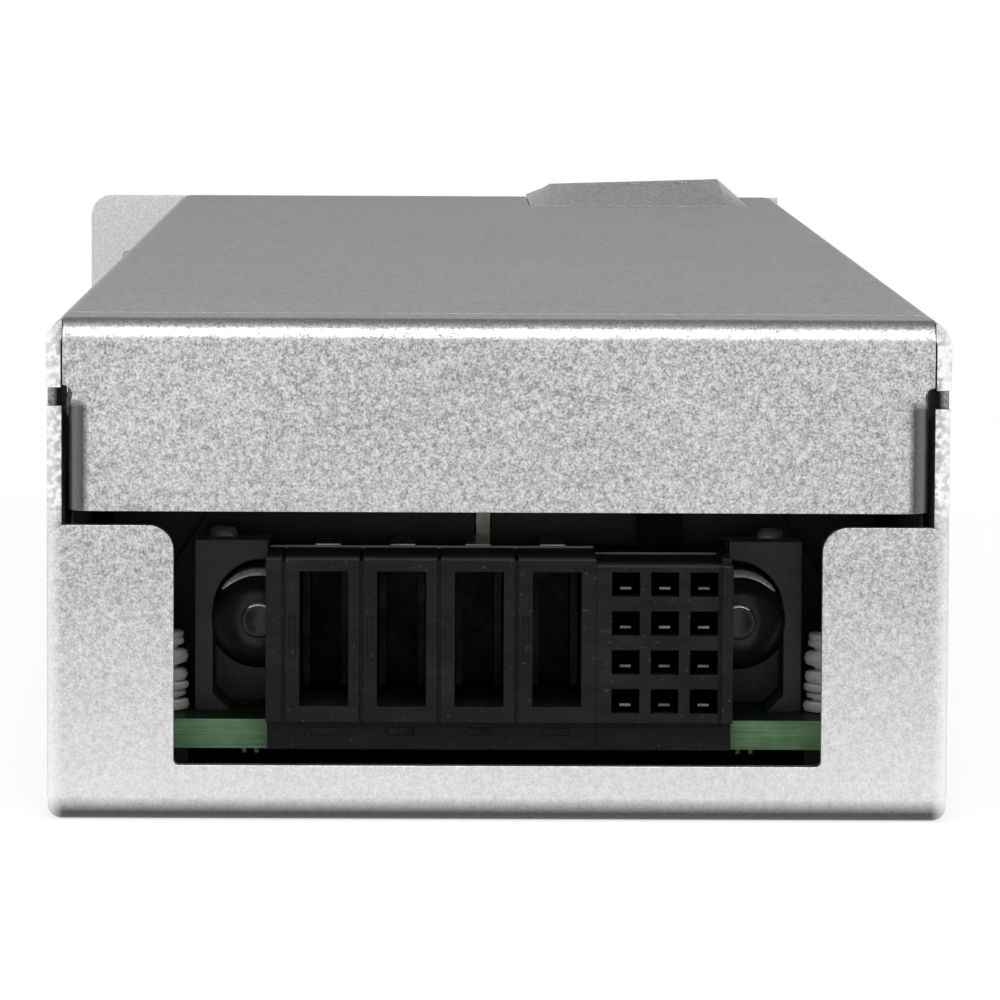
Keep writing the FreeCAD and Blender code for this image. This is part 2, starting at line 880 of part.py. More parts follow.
def ear_screws():
    y = behind(body_back - ear_screw_back)
    return group([
        rod(ear_screw_radius, connector_x + side * ear_screw_x, y, guide_shelf, Z, ear_screw_height) for side in (-1, 1)
    ])


def power_contacts():
    """A pair of spring blades joined by a web at the bottom of each slot, and the tab in the skirt."""
    face = behind(connector_face)
    inner = face + power_slot_depth
    low = power_slot_bottom + blade
    high = power_slot_bottom + power_slot_height - blade
    solids = []
    for x in power_slots():
        left_edge = x + slip
        right_edge = x + power_slot_width - slip
        left = box(left_edge, left_edge + blade, face + blade_back, inner, low, high)
        right = box(right_edge - blade, right_edge, face + blade_back, inner, low, high)
        web = box(left_edge, right_edge, inner - blade, inner, low, high)
        solids.append(joined(left, [right, web]))
        solids.append(foot(x, 0))
    return group(solids)


def power_tails():
    """Tongues that lie on the power modules' roofs, run back over the edge and drop into the board."""
    rear = behind(body_back)
    solids = []
    for x in power_slots():
        left = x + (power_slot_width - foot_width) / 2
        right = left + foot_width
        low = body_roof + solder_gap
        end = rear + tail_run
        flat = box(left, right, rear - tail_overlap, end, low, low + tail_skin)
        drop = box(left, right, end - tail_skin, end, board_top + solder_gap, low + tail_skin)
        solids.append(joined(flat, [drop]))
    return group(solids)


def signal_contacts():
    """Flat blade low in each small cavity."""
    face = behind(connector_face)
    solids = []
    for x, z in signal_cells():
        left = x + (signal_cell_width - signal_width) / 2
        low = z + signal_cell_height / 4
        solids.append(box(left, left + signal_width, face + 1.2, face + signal_depth, low, low + signal_thickness))
    return group(solids)


def signal_tails():
    """Square-cornered leads: back from the housing, then straight down to the board."""
    rear = behind(body_back)
    solids = []
    skin = 0.5
    for x, z in signal_cells():
        run = 1.0 + (z - signal_first_z) * 0.3
        high = z + signal_cell_height / 2
        left = x + (signal_cell_width - skin) / 2
        flat = box(left, left + skin, rear, rear + run, high - skin, high)
        drop = box(left, left + skin, rear + run - skin, rear + run, board_top + solder_gap, high)
        solids.append(joined(flat, [drop]))
    return group(solids)


def board_lock_places():
    """Two thin legs under each guide end."""
    y = behind(body_front + lock_back)
    offsets = (-lock_spacing / 2, lock_spacing / 2)
    return [(connector_x + side * lock_x + offset, y) for side in (-1, 1) for offset in offsets]


def board_locks():
    reach = lock_width / 2
    low = board_bottom - lock_reach
    high = board_top - joint_gap
    return group([box(x - reach, x + reach, y - reach, y + reach, low, high) for x, y in board_lock_places()])


# ---- inside the case ----------------------------------------------------------------------------
def can(radius, x, depth, height):
    """Upright can on the board."""
    return rod(radius, x, behind(depth), board_top + can_lift, Z, height)


def output_capacitors():
    places = [(x, depth) for depth in output_can_rows for x in output_can_x]
    return group([can(output_can_radius, x, depth, output_can_height) for x, depth in places])


def bus_bars():
    """Two copper bars on edge, from behind the connector to the transformer."""
    solids = []
    for x, top in bar_places:
        bar = box(x, x + bar_skin, behind(bar_start), behind(bar_end), board_top + bar_lift, board_top + top)
        feet = [box(x, x + bar_skin, behind(start), behind(start + bar_foot), board_top + solder_gap,
                    board_top + bar_lift) for start in bar_feet]
        solids.append(joined(bar, feet))
    return group(solids)


def transformer_core():
    """Pair of E cores seen as a closed frame with a middle leg."""
    start, end = behind(core_start), behind(core_start + core_length)
    low = board_top + core_lift
    high = low + core_height
    core = box(core_x - core_half, core_x + core_half, start, end, low, high)
    for side in (-1, 1):
        left, right = sorted((core_x + side * core_leg, core_x + side * (core_half - core_leg)))
        core = core.cut(box(left, right, start - 1, end + 1, low + core_leg, high - core_leg))
    return core


def transformer_windings():
    """Wound bobbin round the middle leg, standing out past the core at both ends."""
    start, end = behind(core_start), behind(core_start + core_length)
    low = board_top + core_lift + core_leg + winding_gap
    high = board_top + core_lift + core_height - core_leg - winding_gap
    reach = core_half - core_leg - winding_gap
    bore = core_leg + bobbin_gap
    outer = box(core_x - reach, core_x + reach, start - winding_reach, end + winding_reach, low, high)
    outer = outer.makeFillet(winding_round, [e for e in outer.Edges if abs(e.tangentAt(e.FirstParameter).z) > 0.9])
    return outer.cut(box(core_x - bore, core_x + bore, start - bobbin_gap, end + bobbin_gap, low - 1, high + 1))


def finned_sink(x, wall, fins, start, length):
    """Upright aluminium plate with fins standing out sideways."""
    step = (length - fin_skin) / (fins - 1)
    low, high = board_top + can_lift, board_top + sink_height
    plate = box(x, x + wall, behind(start), behind(start + length), low, high)
    blades = []
    for index in range(fins):
        y = behind(start + index * step)
        blades.append(box(x + wall - slip, x + wall + fin_reach, y, y + fin_skin, low, high))
    return joined(plate, blades)


def heatsinks():
    return group([finned_sink(*place) for place in (output_sink, switch_sink)])


def transistor(x, depth):
    """Tabbed package clamped flat to a sink's face, with three legs."""
    start = behind(depth)
    low = board_top + transistor_lift
    high = low + transistor_width
    body = box(x - transistor_skin, x, start, start + transistor_width, low, high)
    tab = box(x - tab_skin, x, start, start + transistor_width, high - slip, high + transistor_tab)
    leads = []
    for index in (-1, 0, 1):
        middle = start + transistor_width / 2 + index * transistor_pitch
        leads.append(box(x - leg_out - leg_skin / 2, x - leg_out + leg_skin / 2, middle - leg_skin / 2,
                         middle + leg_skin / 2, board_top + solder_gap, low + slip))
    return joined(body, [tab] + leads)


def power_transistors():
    return group([transistor(switch_sink[0], depth) for depth in transistor_rows])


def bulk_capacitors():
    """Two big cans lying along the case."""
    z = board_top + bulk_radius + bulk_lift
    return group([rod(bulk_radius, x, behind(bulk_start), z, Y, bulk_length) for x in bulk_x])


def control_card():
    return box(card_x, card_x + card_skin, behind(card_start), behind(card_start + card_length),
               board_top + solder_gap, board_top + card_height)


def control_chips():
    face = card_x + card_skin
    solids = []
    for depth, rise, size in chip_places:
        low = board_top + rise
        solids.append(box(face, face + chip_skin, behind(depth), behind(depth + size), low, low + size))
    return group(solids)


def ring_core(x, depth, z, outer, inner, width):
    core = rod(outer, x - width / 2, behind(depth), z, X, width)
    return core.cut(rod(inner, x - width / 2 - 1, behind(depth), z, X, width + 2))


def pfc_choke_core():
    return ring_core(choke_x, choke_depth, choke_z, choke_outer, choke_inner, choke_width)


def wound_turns(x, depth, z, outer, inner, width, wire, turns):
    """Square-section turns round a ring core, each its own closed loop."""
    solids = []
    for turn in range(turns):
        angle = 360.0 * (turn + 0.5) / turns
        low, high = -width / 2 - turn_gap, width / 2 + turn_gap
        near, far = inner - turn_gap, outer + turn_gap
        loop = box(low - wire, high + wire, near - wire, far + wire, -wire / 2, wire / 2)
        hole = box(low, high, near, far, -wire, wire)
        solid = loop.cut(hole)
        solid.rotate(Vector(0, 0, 0), X, angle)
        solid.translate(Vector(x, behind(depth), z))
        solids.append(solid)
    return solids


def pfc_choke_winding():
    return group(wound_turns(choke_x, choke_depth, choke_z, choke_outer, choke_inner, choke_width,
                             choke_wire, choke_turns))


def emi_choke_core():
    return ring_core(emi_x, emi_depth, emi_z, emi_outer, emi_inner, emi_width)


def emi_choke_winding():
    return group(wound_turns(emi_x, emi_depth, emi_z, emi_outer, emi_inner, emi_width,
                             emi_wire, emi_turns))


def bridge_rectifier():
    """Flat upright package with a screw hole near its top and four legs in a row."""
    low = board_top + bridge_lift
    high = low + bridge_height
    start = behind(bridge_start)
    middle = start + bridge_length / 2
    body = box(bridge_x, bridge_x + bridge_skin, start, start + bridge_length, low, high)
    body = body.cut(rod(bridge_hole_radius, bridge_x - 1, middle, high - bridge_hole_drop, X, bridge_skin + 2))
    left = bridge_x + (bridge_skin - bridge_lead) / 2
    leads = []
    for index in range(bridge_leads):
        y = middle + (index - (bridge_leads - 1) / 2) * bridge_pitch - bridge_lead / 2
        leads.append(box(left, left + bridge_lead, y, y + bridge_lead, board_top + solder_gap, low + slip))
    return joined(body, leads)


def x_capacitor():
    return box(filter_x, filter_x + filter_width, behind(filter_start), behind(filter_start + filter_length),
               board_top + can_lift, board_top + filter_height)


def relay():
    return box(filter_x, filter_x + relay_width, behind(relay_start), behind(relay_start + relay_length),
               board_top + can_lift, board_top + relay_height)


def line_fuse():
    z = board_top + fuse_rise
    start = behind(fuse_depth) - fuse_leg / 2
    tube = rod(fuse_radius, fuse_x, behind(fuse_depth), z, X, fuse_length)
    legs = [box(x, x + fuse_leg, start, start + fuse_leg, board_top + solder_gap, z)
            for x in (fuse_x + fuse_leg_inset, fuse_x + fuse_length - fuse_leg_inset - fuse_leg)]
    return joined(tube, legs)


def inlet_leads():
    """Live and neutral leads: forward from the inlet's tabs, then down to the board."""
    solids = []
    start = back + inlet_flange - inlet_depth - pin_tail - pin_blunt
    end = behind(board_back - 6.0)
    for side in (-1, 1):
        left = inlet_x + side * pin_spread - lead_width / 2
        right = left + lead_width
        high = inlet_z - pin_rise + lead_width / 2
        run = box(left, right, end, start, high - lead_width, high)
        drop = box(left, right, end, end + lead_width, board_top + solder_gap, high)
        solids.append(joined(run, [drop]))
    return group(solids)


# ---- mains end ----------------------------------------------------------------------------------
def fan_grille():
    """Ring slots in front of the fan, split by four spokes, kept clear of the bail's brackets."""
    slots = []
    for index in range(grille_rings):
        outer = fan_throat - index * (grille_ring + grille_web)
        ring = rod(outer, fan_x, panel_back - sheet, fan_z, Y, 4 * sheet)
        slots.append(ring.cut(rod(outer - grille_ring, fan_x, panel_back - 2 * sheet, fan_z, Y, 6 * sheet)))
    pattern = slots[0].fuse(slots[1:])
    keep = []
    for angle in (45, 135):
        bar = box(-fan_size, fan_size, panel_back - 2 * sheet, back + 2 * sheet, -grille_web, grille_web)
        bar.rotate(Vector(0, 0, 0), Y, angle)
        bar.translate(Vector(fan_x, 0, fan_z))
        keep.append(bar)
    reach = bracket_depth / 2 + grille_web
    for side in (-1, 1):
        edge = fan_x + side * (bail_span / 2 + 2 * bracket_foot)
        inner_edge = fan_x + side * (bail_span / 2 - bracket_foot)
        low, high = sorted((edge, inner_edge))
        keep.append(box(low, high, panel_back - 2 * sheet, back + 2 * sheet, bail_pivot_z - reach, bail_pivot_z + reach))
    return pattern.cut(keep)


def fan_hole_places():
    reach = fan_size / 2 - fan_hole_inset
    return [(fan_x + sx * reach, fan_z + sz * reach) for sx in (-1, 1) for sz in (-1, 1)]


def bracket_rivet_places():
    return [(fan_x + side * (bail_span / 2 - 1.0), bail_pivot_z) for side in (-1, 1)]


def ac_end_panel():
    """Flat end plate with the grille, the inlet's window, a notch under the latch and a mounting ear."""
    ear_left = -half - ear_reach
    notch = case_height - tongue_notch_drop
    notch_left = tongue_left - tongue_gap
    notch_right = tongue_right + tongue_gap
    top = case_height - slip
    corners = [
        (-face_half, slip, 0),
        (face_half, slip, 0),
        (face_half, top, 0),
        (notch_right, top, 0),
        (notch_right, notch, 0),
        (notch_left, notch, 0),
        (notch_left, top, 0),
        (ear_left, top, ear_round),
        (ear_left, case_height - ear_height, ear_round),
        (-face_half, case_height - ear_height, 0),
    ]
    panel = prism(corners, xz_point(panel_back), Y * panel_sheet)
    tab_low = panel_screw_heights[0] - tab_half
    tab_high = panel_screw_heights[-1] + tab_half
    tabs = []
    for hand in (-1, 1):
        outer = hand * (inside - slip / 2)
        low, high = sorted((outer, outer - hand * sheet))
        tabs.append(box(low, high, panel_back - tab_reach, panel_back + 0.1, tab_low, tab_high))
    panel = joined(panel, tabs)
    start = panel_back - sheet
    through = 4 * sheet
    wide = inlet_body_width / 2 + inlet_gap
    tall = inlet_body_height / 2 + inlet_gap
    cuts = [
        fan_grille(),
        box(inlet_x - wide, inlet_x + wide, start, back + sheet, inlet_z - tall, inlet_z + tall),
        rod(ear_hole_radius, -half - ear_hole_out, start, case_height - ear_hole_drop, Y, through),
        rod(led_radius + slip / 2, led_x, start, led_z, Y, through),
    ]
    for x, z in bracket_rivet_places():
        cuts.append(rod(rivet_radius + rivet_gap, x, start, z, Y, through))
    for hand, y, z in case_screw_places()[1]:
        cuts.append(rod(screw_radius + slip / 2, hand * half, y, z, X * -hand, screw_length + 2))
    return panel.cut(cuts)


def fan_frame():
    """Square fan housing with flanged ends, a round throat and a spider that carries the motor boss."""
    y1 = panel_back - fan_gap
    y0 = y1 - fan_depth
    reach = fan_size / 2
    flange = fan_flange
    corners = [(fan_x + sx * reach, fan_z + sz * reach, 3.0) for sx, sz in ((-1, -1), (1, -1), (1, 1), (-1, 1))]
    ends = [prism(corners, xz_point(y), Y * flange) for y in (y0, y1 - flange)]
    barrel = rod(reach - 0.02, fan_x, y0 + flange - 0.1, fan_z, Y, fan_depth - 2 * flange + 0.2)
    frame = joined(ends[0], [ends[1], barrel])
    frame = frame.cut(rod(fan_throat, fan_x, y0 - 1, fan_z, Y, fan_depth + 2))
    boss = rod(fan_hub_radius - 0.4, fan_x, y0, fan_z, Y, 3.0)
    boss = boss.fuse(rod(3.4, fan_x, y0 + 2.9, fan_z, Y, 9.0))
    struts = []
    for angle in (30, 150, 270):
        strut = box(fan_hub_radius - 1.5, reach - 0.6, y0, y0 + 2.4, -0.9, 0.9)
        strut.rotate(Vector(0, 0, 0), Y, angle)
        strut.translate(Vector(fan_x, 0, fan_z))
        struts.append(strut)
    frame = joined(frame, [boss] + struts)
    return frame.cut(rod(fan_shaft_radius + running_gap, fan_x, y0 - 1, fan_z, Y, fan_depth))


def fan_rotor():
    """Cup-shaped hub on a shaft, with twisted blades."""
    y1 = panel_back - fan_gap - fan_hub_inset
    y0 = panel_back - fan_gap - fan_depth + fan_strut_space
    cup = rod(fan_hub_radius, fan_x, y0, fan_z, Y, y1 - y0)
    hollow = rod(fan_hub_radius - fan_hub_wall, fan_x, y0 - 1, fan_z, Y, y1 - y0 + 1 - fan_hub_floor)
    shaft = rod(fan_shaft_radius, fan_x, y0 - fan_shaft_reach, fan_z, Y, y1 - y0 + fan_shaft_reach - fan_hub_floor + slip)
    cup = joined(cup.cut(hollow), [shaft])
    tip = fan_throat - fan_tip_gap
    blades = []
    chord = y1 - y0 - 2 * fan_blade_inset

    def blade_wire(radius, lean, thickness):
        """Curved section of a blade on a plane at this radius, as two arcs and two short ends."""
        swing = math.tan(math.radians(lean)) * chord / 2
        start = Vector(-swing, y0 + fan_blade_inset, radius)
        end = Vector(swing, y0 + fan_blade_inset + chord, radius)
        middle = (start + end) * 0.5
        upper = Part.Arc(start, middle + Vector(fan_camber + thickness, 0, 0), end).toShape()
        shifted_start = start - Vector(thickness, 0, 0)
        shifted_end = end - Vector(thickness, 0, 0)
        lower = Part.Arc(shifted_end, middle + Vector(fan_camber - thickness, 0, 0), shifted_start).toShape()
        return Part.Wire([upper, Part.makeLine(end, shifted_end), lower, Part.makeLine(shifted_start, start)])

    trim = rod(tip, fan_x, y0 - 5, fan_z, Y, 2 * fan_depth)
    for index in range(fan_blades):
        root = blade_wire(fan_hub_radius - fan_hub_wall / 2, fan_root_lean, fan_root_skin)
        blade = Part.makeLoft([root, blade_wire(tip + 1, fan_tip_lean, fan_tip_skin)], True, True)
        blade.rotate(Vector(0, 0, 0), Y, 360.0 * index / fan_blades)
        blade.translate(Vector(fan_x, 0, fan_z))
        blades.append(blade.common(trim))
    return cup.fuse(blades)


def fan_screws():
    return group([rod(fan_head_radius, x, back, z, Y, fan_head_height) for x, z in fan_hole_places()])


def inlet_outline(width, height, gap=0.0):
    """Mains inlet outline: a rectangle with its two upper corners cut off."""
    right = width / 2 + gap
    top = height / 2 + gap
    cut = height * 0.26
    return [
        (inlet_x - right, inlet_z - top, 1.0),
        (inlet_x + right, inlet_z - top, 1.0),
        (inlet_x + right, inlet_z + top - cut, 1.0),
        (inlet_x + right - cut, inlet_z + top, 1.0),
        (inlet_x - right + cut, inlet_z + top, 1.0),
        (inlet_x - right, inlet_z + top - cut, 1.0),
    ]


def inlet_housing():
    """Flanged mains inlet with a deep recess that has two cut corners."""
    wide = inlet_flange_width / 2
    tall = inlet_flange_height / 2
    flange = box(inlet_x - wide, inlet_x + wide, back, back + inlet_flange, inlet_z - tall, inlet_z + tall)
    flange = flange.makeFillet(1.5, [e for e in flange.Edges if abs(e.tangentAt(e.FirstParameter).y) > 0.9])
    wide = inlet_body_width / 2
    tall = inlet_body_height / 2
    body = box(inlet_x - wide, inlet_x + wide, back + inlet_flange - inlet_depth, back + slip,
               inlet_z - tall, inlet_z + tall)
    recess = prism(inlet_outline(inlet_recess_width, inlet_recess_height), xz_point(back + inlet_flange + 1),
                   Y * -(inlet_recess_depth + 1))
    housing = joined(flange, [body]).cut(recess)
    wide = pin_width / 2 + joint_gap
    tall = pin_height / 2 + joint_gap
    return housing.cut([box(x - wide, x + wide, front, back, z - tall, z + tall) for x, z in inlet_pin_places()])


def inlet_pin_places():
    low = inlet_z - pin_rise
    return [(inlet_x - pin_spread, low), (inlet_x + pin_spread, low), (inlet_x, inlet_z + pin_rise)]


def inlet_pins():
    """Three mains blades with solder tabs at their rear."""
    solids = []
    tip = back + inlet_flange - inlet_recess_depth + pin_length
    rear = back + inlet_flange - inlet_depth - pin_tail
    for x, z in inlet_pin_places():
        pin = box(x - pin_width / 2, x + pin_width / 2, rear, tip, z - pin_height / 2, z + pin_height / 2)
        solids.append(pin.makeChamfer(pin_width / 4, [e for e in pin.Edges if e.CenterOfMass.y > tip - slip]))
    return group(solids)


def status_led():
    return rod(led_radius, led_x, back + panel_sheet / 2 - led_length, led_z, Y, led_length)


def bail_brackets():
    """Two folded lugs riveted to the panel, each with a hole for the bail's turned-out end."""
    solids = []
    pivot = back + bail_stand
    top = pivot + bracket_round + slip
    for side in (-1, 1):
        ear = fan_x + side * (bail_span / 2 + bail_wire + slip + sheet)
        inner = fan_x + side * (bail_span / 2 - bracket_foot)
        path = [(ear, top), (ear, back), (inner, back)]
        if side < 0:
            path = path[::-1]
        lug = folded_sheet(path, sheet, xy_point(bail_pivot_z - bracket_depth / 2), Z * bracket_depth)
        corners = [e for e in lug.Edges if e.CenterOfMass.y > top - slip
                   and abs(e.tangentAt(e.FirstParameter).x) > 0.9]
        lug = lug.makeFillet(bracket_round, corners)
        lug = lug.cut(rod(bail_pin + running_gap, ear - side * 3, pivot, bail_pivot_z, X * side, 6))
        solids.append(lug)
    cuts = [rod(rivet_radius + rivet_gap, x, back - 1, z, Y, 4) for x, z in bracket_rivet_places()]
    return group([solid.cut(cuts) for solid in solids])


def bracket_rivets():
    solids = []
    for x, z in bracket_rivet_places():
        shank = rod(rivet_radius, x, panel_back - fan_gap / 2, z, Y, panel_sheet + sheet + fan_gap / 2)
        head = rod(rivet_radius + 0.6, x, back + sheet, z, Y, 0.5)
        solids.append(shank.fuse(head))
    return group(solids)


def pull_bail():
    """Flat stamped loop with round ends that turn in the brackets."""
    y = back + bail_stand
    half_span = bail_span / 2
    low = bail_pivot_z - bail_drop
    thick = bail_wire
    outer = half_span + thick
    inner = half_span - thick
    outside = [
        (-outer, bail_pivot_z + thick, thick * 0.9),
        (-outer, low - thick, 6.0),
        (outer, low - thick, 6.0),
        (outer, bail_pivot_z + thick, thick * 0.9),
        (inner, bail_pivot_z + thick, thick * 0.9),
        (inner, low + thick, 3.5),
        (-inner, low + thick, 3.5),
        (-inner, bail_pivot_z + thick, thick * 0.9),
    ]
    bail = prism(outside, xz_point(y - bail_wire), Y * (2 * bail_wire))
    pin_length_out = slip + sheet + 1.0
    pins = [rod(bail_pin, side * (outer - 0.2), y, bail_pivot_z, X * side, pin_length_out) for side in (-1, 1)]
    bail = joined(bail, pins)
    bail.translate(Vector(fan_x, 0, 0))
    return bail


# ---- build --------------------------------------------------------------------------------------
def build():
    os.makedirs("parts", exist_ok=True)
    cover_places, panel_places = case_screw_places()
    pieces = {
        "chassis_tray": chassis_tray(),
        "top_cover": top_cover(),
        "cover_screws": case_screws(cover_places),
        "panel_screws": case_screws(panel_places),
        "latch_tongue": latch_tongue(),
        "side_spring": side_spring(),
        "insulator_liner": insulator_liner(),
        "front_barrier": front_barrier(),
        "main_board": main_board(),
        "board_standoffs": board_standoffs(),
        "board_washers": board_washers(),
        "board_nuts": board_nuts(),
        "board_screws": board_screws(),
        "power_housing": power_housing(),
        "signal_housing": signal_housing(),
        "guide_housings": guide_housings(),
        "ear_screws": ear_screws(),
        "power_contacts": power_contacts(),
        "power_tails": power_tails(),
        "signal_contacts": signal_contacts(),
        "signal_tails": signal_tails(),
        "board_locks": board_locks(),
        "output_capacitors": output_capacitors(),
        "bus_bars": bus_bars(),
        "transformer_core": transformer_core(),
        "transformer_windings": transformer_windings(),
        "heatsinks": heatsinks(),
        "power_transistors": power_transistors(),
        "bulk_capacitors": bulk_capacitors(),
        "control_card": control_card(),
        "control_chips": control_chips(),
        "pfc_choke_core": pfc_choke_core(),
        "pfc_choke_winding": pfc_choke_winding(),
        "emi_choke_core": emi_choke_core(),
        "emi_choke_winding": emi_choke_winding(),
        "bridge_rectifier": bridge_rectifier(),
        "x_capacitor": x_capacitor(),
        "relay": relay(),
        "line_fuse": line_fuse(),
        "inlet_leads": inlet_leads(),
        "ac_end_panel": ac_end_panel(),
        "fan_frame": fan_frame(),
        "fan_rotor": fan_rotor(),
        "fan_screws": fan_screws(),
        "inlet_housing": inlet_housing(),
        "inlet_pins": inlet_pins(),
        "status_led": status_led(),
        "bail_brackets": bail_brackets(),
        "bracket_rivets": bracket_rivets(),
        "pull_bail": pull_bail(),
    }
    for node, shape in pieces.items():
        save(node, shape)
        print(node, len(shape.Solids), shape.isValid(), round(shape.Volume, 1))


build()
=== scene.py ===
"""Studio scene and finishes for the hot swap server power supply."""
import json
import math

import bpy
from mathutils import Matrix, Vector


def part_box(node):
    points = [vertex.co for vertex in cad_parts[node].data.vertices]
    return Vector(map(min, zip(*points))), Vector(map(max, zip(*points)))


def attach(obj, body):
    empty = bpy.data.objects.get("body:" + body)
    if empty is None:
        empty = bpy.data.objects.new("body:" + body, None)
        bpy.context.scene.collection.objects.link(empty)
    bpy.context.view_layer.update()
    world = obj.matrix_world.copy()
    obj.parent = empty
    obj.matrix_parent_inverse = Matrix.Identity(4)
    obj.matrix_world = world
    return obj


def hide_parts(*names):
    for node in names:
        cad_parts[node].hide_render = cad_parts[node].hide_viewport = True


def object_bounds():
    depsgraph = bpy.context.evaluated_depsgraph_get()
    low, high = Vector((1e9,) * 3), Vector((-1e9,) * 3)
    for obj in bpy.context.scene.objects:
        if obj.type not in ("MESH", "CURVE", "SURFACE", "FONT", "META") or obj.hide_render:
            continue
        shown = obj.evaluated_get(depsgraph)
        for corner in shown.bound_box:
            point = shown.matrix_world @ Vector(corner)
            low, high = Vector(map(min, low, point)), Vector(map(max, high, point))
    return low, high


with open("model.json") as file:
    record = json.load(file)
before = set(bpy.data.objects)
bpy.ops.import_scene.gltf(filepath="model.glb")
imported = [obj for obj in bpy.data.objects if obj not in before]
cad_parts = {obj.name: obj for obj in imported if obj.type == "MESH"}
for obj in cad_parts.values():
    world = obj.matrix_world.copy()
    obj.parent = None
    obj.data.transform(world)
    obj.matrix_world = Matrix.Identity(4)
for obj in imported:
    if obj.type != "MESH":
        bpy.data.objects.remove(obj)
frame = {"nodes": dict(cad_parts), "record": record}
cad_low, cad_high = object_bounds()
MM = 0.001

# in metres: places on the case, then bands of height, depth or width over which a look changes
TRAY_LOW, TRAY_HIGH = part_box("chassis_tray")
FRONT = TRAY_LOW.y
HALF_WIDTH = TRAY_HIGH.x
WALL_INSIDE = HALF_WIDTH - 0.00145
# painted shade: heights over which the very foot of the case darkens
FOOT_SHADE_HEIGHTS = (0.0007, 0.002)
# painted light: heights over which the paler lower part of each face fades out
LOW_LIGHT_HEIGHTS = (0.003, 0.02)
CASE_HEIGHTS = (0.002, 0.039)
CASE_DEPTHS = (-0.13, 0.13)
FLAP_FOOT_HEIGHTS = (0.0247, 0.0255)
FLAP_BEND_HEIGHTS = (0.0338, 0.0346)
FLAP_BEND_SIDES = (0.0332, 0.0338)
# painted shade: sides over which the flap's bends darken
FLAP_SHADE_SIDES = (0.0338, 0.0350)
TOP_BEND_HEIGHTS = (0.0394, 0.0400)
UNDERCUT_FOOT_HEIGHTS = (0.00725, 0.0074)
UNDERCUT_TOP_HEIGHTS = (0.0079, 0.00795)

# the guide posts beside the connector's nose
POST_OFFSET = 19.9 * MM
POST_RISE = 7.7 * MM
NOSE_GAP = 0.06 * MM

POINT_GRID = 0.001 * MM


# ---- wiring of shader nodes ---------------------------------------------------------------------
class Wiring:
    """Adds nodes to a tree: keyword values go to the sockets of that name, linked or set."""

    def __init__(self, tree):
        self.tree = tree

    def add(self, kind, settings=None, **sockets):
        item = self.tree.nodes.new(kind)
        for name, value in (settings or {}).items():
            setattr(item, name, value)
        for name, value in sockets.items():
            self.feed(item, name.replace("_", " "), value)
        return item

    def feed(self, item, socket, value):
        """Links or sets an input given by its name, or by its number as n0, n1 and so on."""
        numbered = socket[0] == "n" and socket[1:].isdigit()
        target = item.inputs[int(socket[1:]) if numbered else socket]
        if isinstance(value, bpy.types.NodeSocket):
            self.tree.links.new(value, target)
        else:
            target.default_value = value

    def maths(self, operation, first, second=0.0, clamp=False):
        item = self.add("ShaderNodeMath", {"operation": operation, "use_clamp": clamp}, n0=first, n1=second)
        return item.outputs[0]

    def remap(self, value, low, high, to_low, to_high):
        item = self.add("ShaderNodeMapRange", None, Value=value, From_Min=low, From_Max=high,
                        To_Min=to_low, To_Max=to_high)
        return item.outputs[0]

    def blend(self, factor, first, second):
        item = self.add("ShaderNodeMix", {"data_type": "RGBA"}, n0=factor, n6=first, n7=second)
        return item.outputs[2]

    def noise(self, place, scale, detail=2.0, roughness=0.5):
        item = self.add("ShaderNodeTexNoise", None, Vector=place, Scale=scale, Detail=detail,
                        Roughness=roughness)
        return item.outputs[0]

    def stretched(self, place, x, y, z):
        item = self.add("ShaderNodeMapping", None, Vector=place, Scale=(x, y, z))
        return item.outputs[0]


def effect(name, inputs, outputs):
    """Empty node group with named sockets: the group, its wiring, its inputs and its output node."""
    group = bpy.data.node_groups.new(name, "ShaderNodeTree")
    for label, kind, value in inputs:
        socket = group.interface.new_socket(label, in_out="INPUT", socket_type=kind)
        if value is not None:
            socket.default_value = value
    for label, kind in outputs:
        group.interface.new_socket(label, in_out="OUTPUT", socket_type=kind)
    wiring = Wiring(group)
    source = wiring.add("NodeGroupInput")
    sink = wiring.add("NodeGroupOutput")
    return group, wiring, source.outputs, sink


# ---- effects ------------------------------------------------------------------------------------
FLOAT = "NodeSocketFloat"
COLOUR = "NodeSocketColor"
VECTOR = "NodeSocketVector"


def flat(level):
    """Neutral grey."""
    return (level, level, level, 1.0)


def grey(level):
    """Grey with a trace of blue."""
    return (level, level, level * 1.01, 1.0)


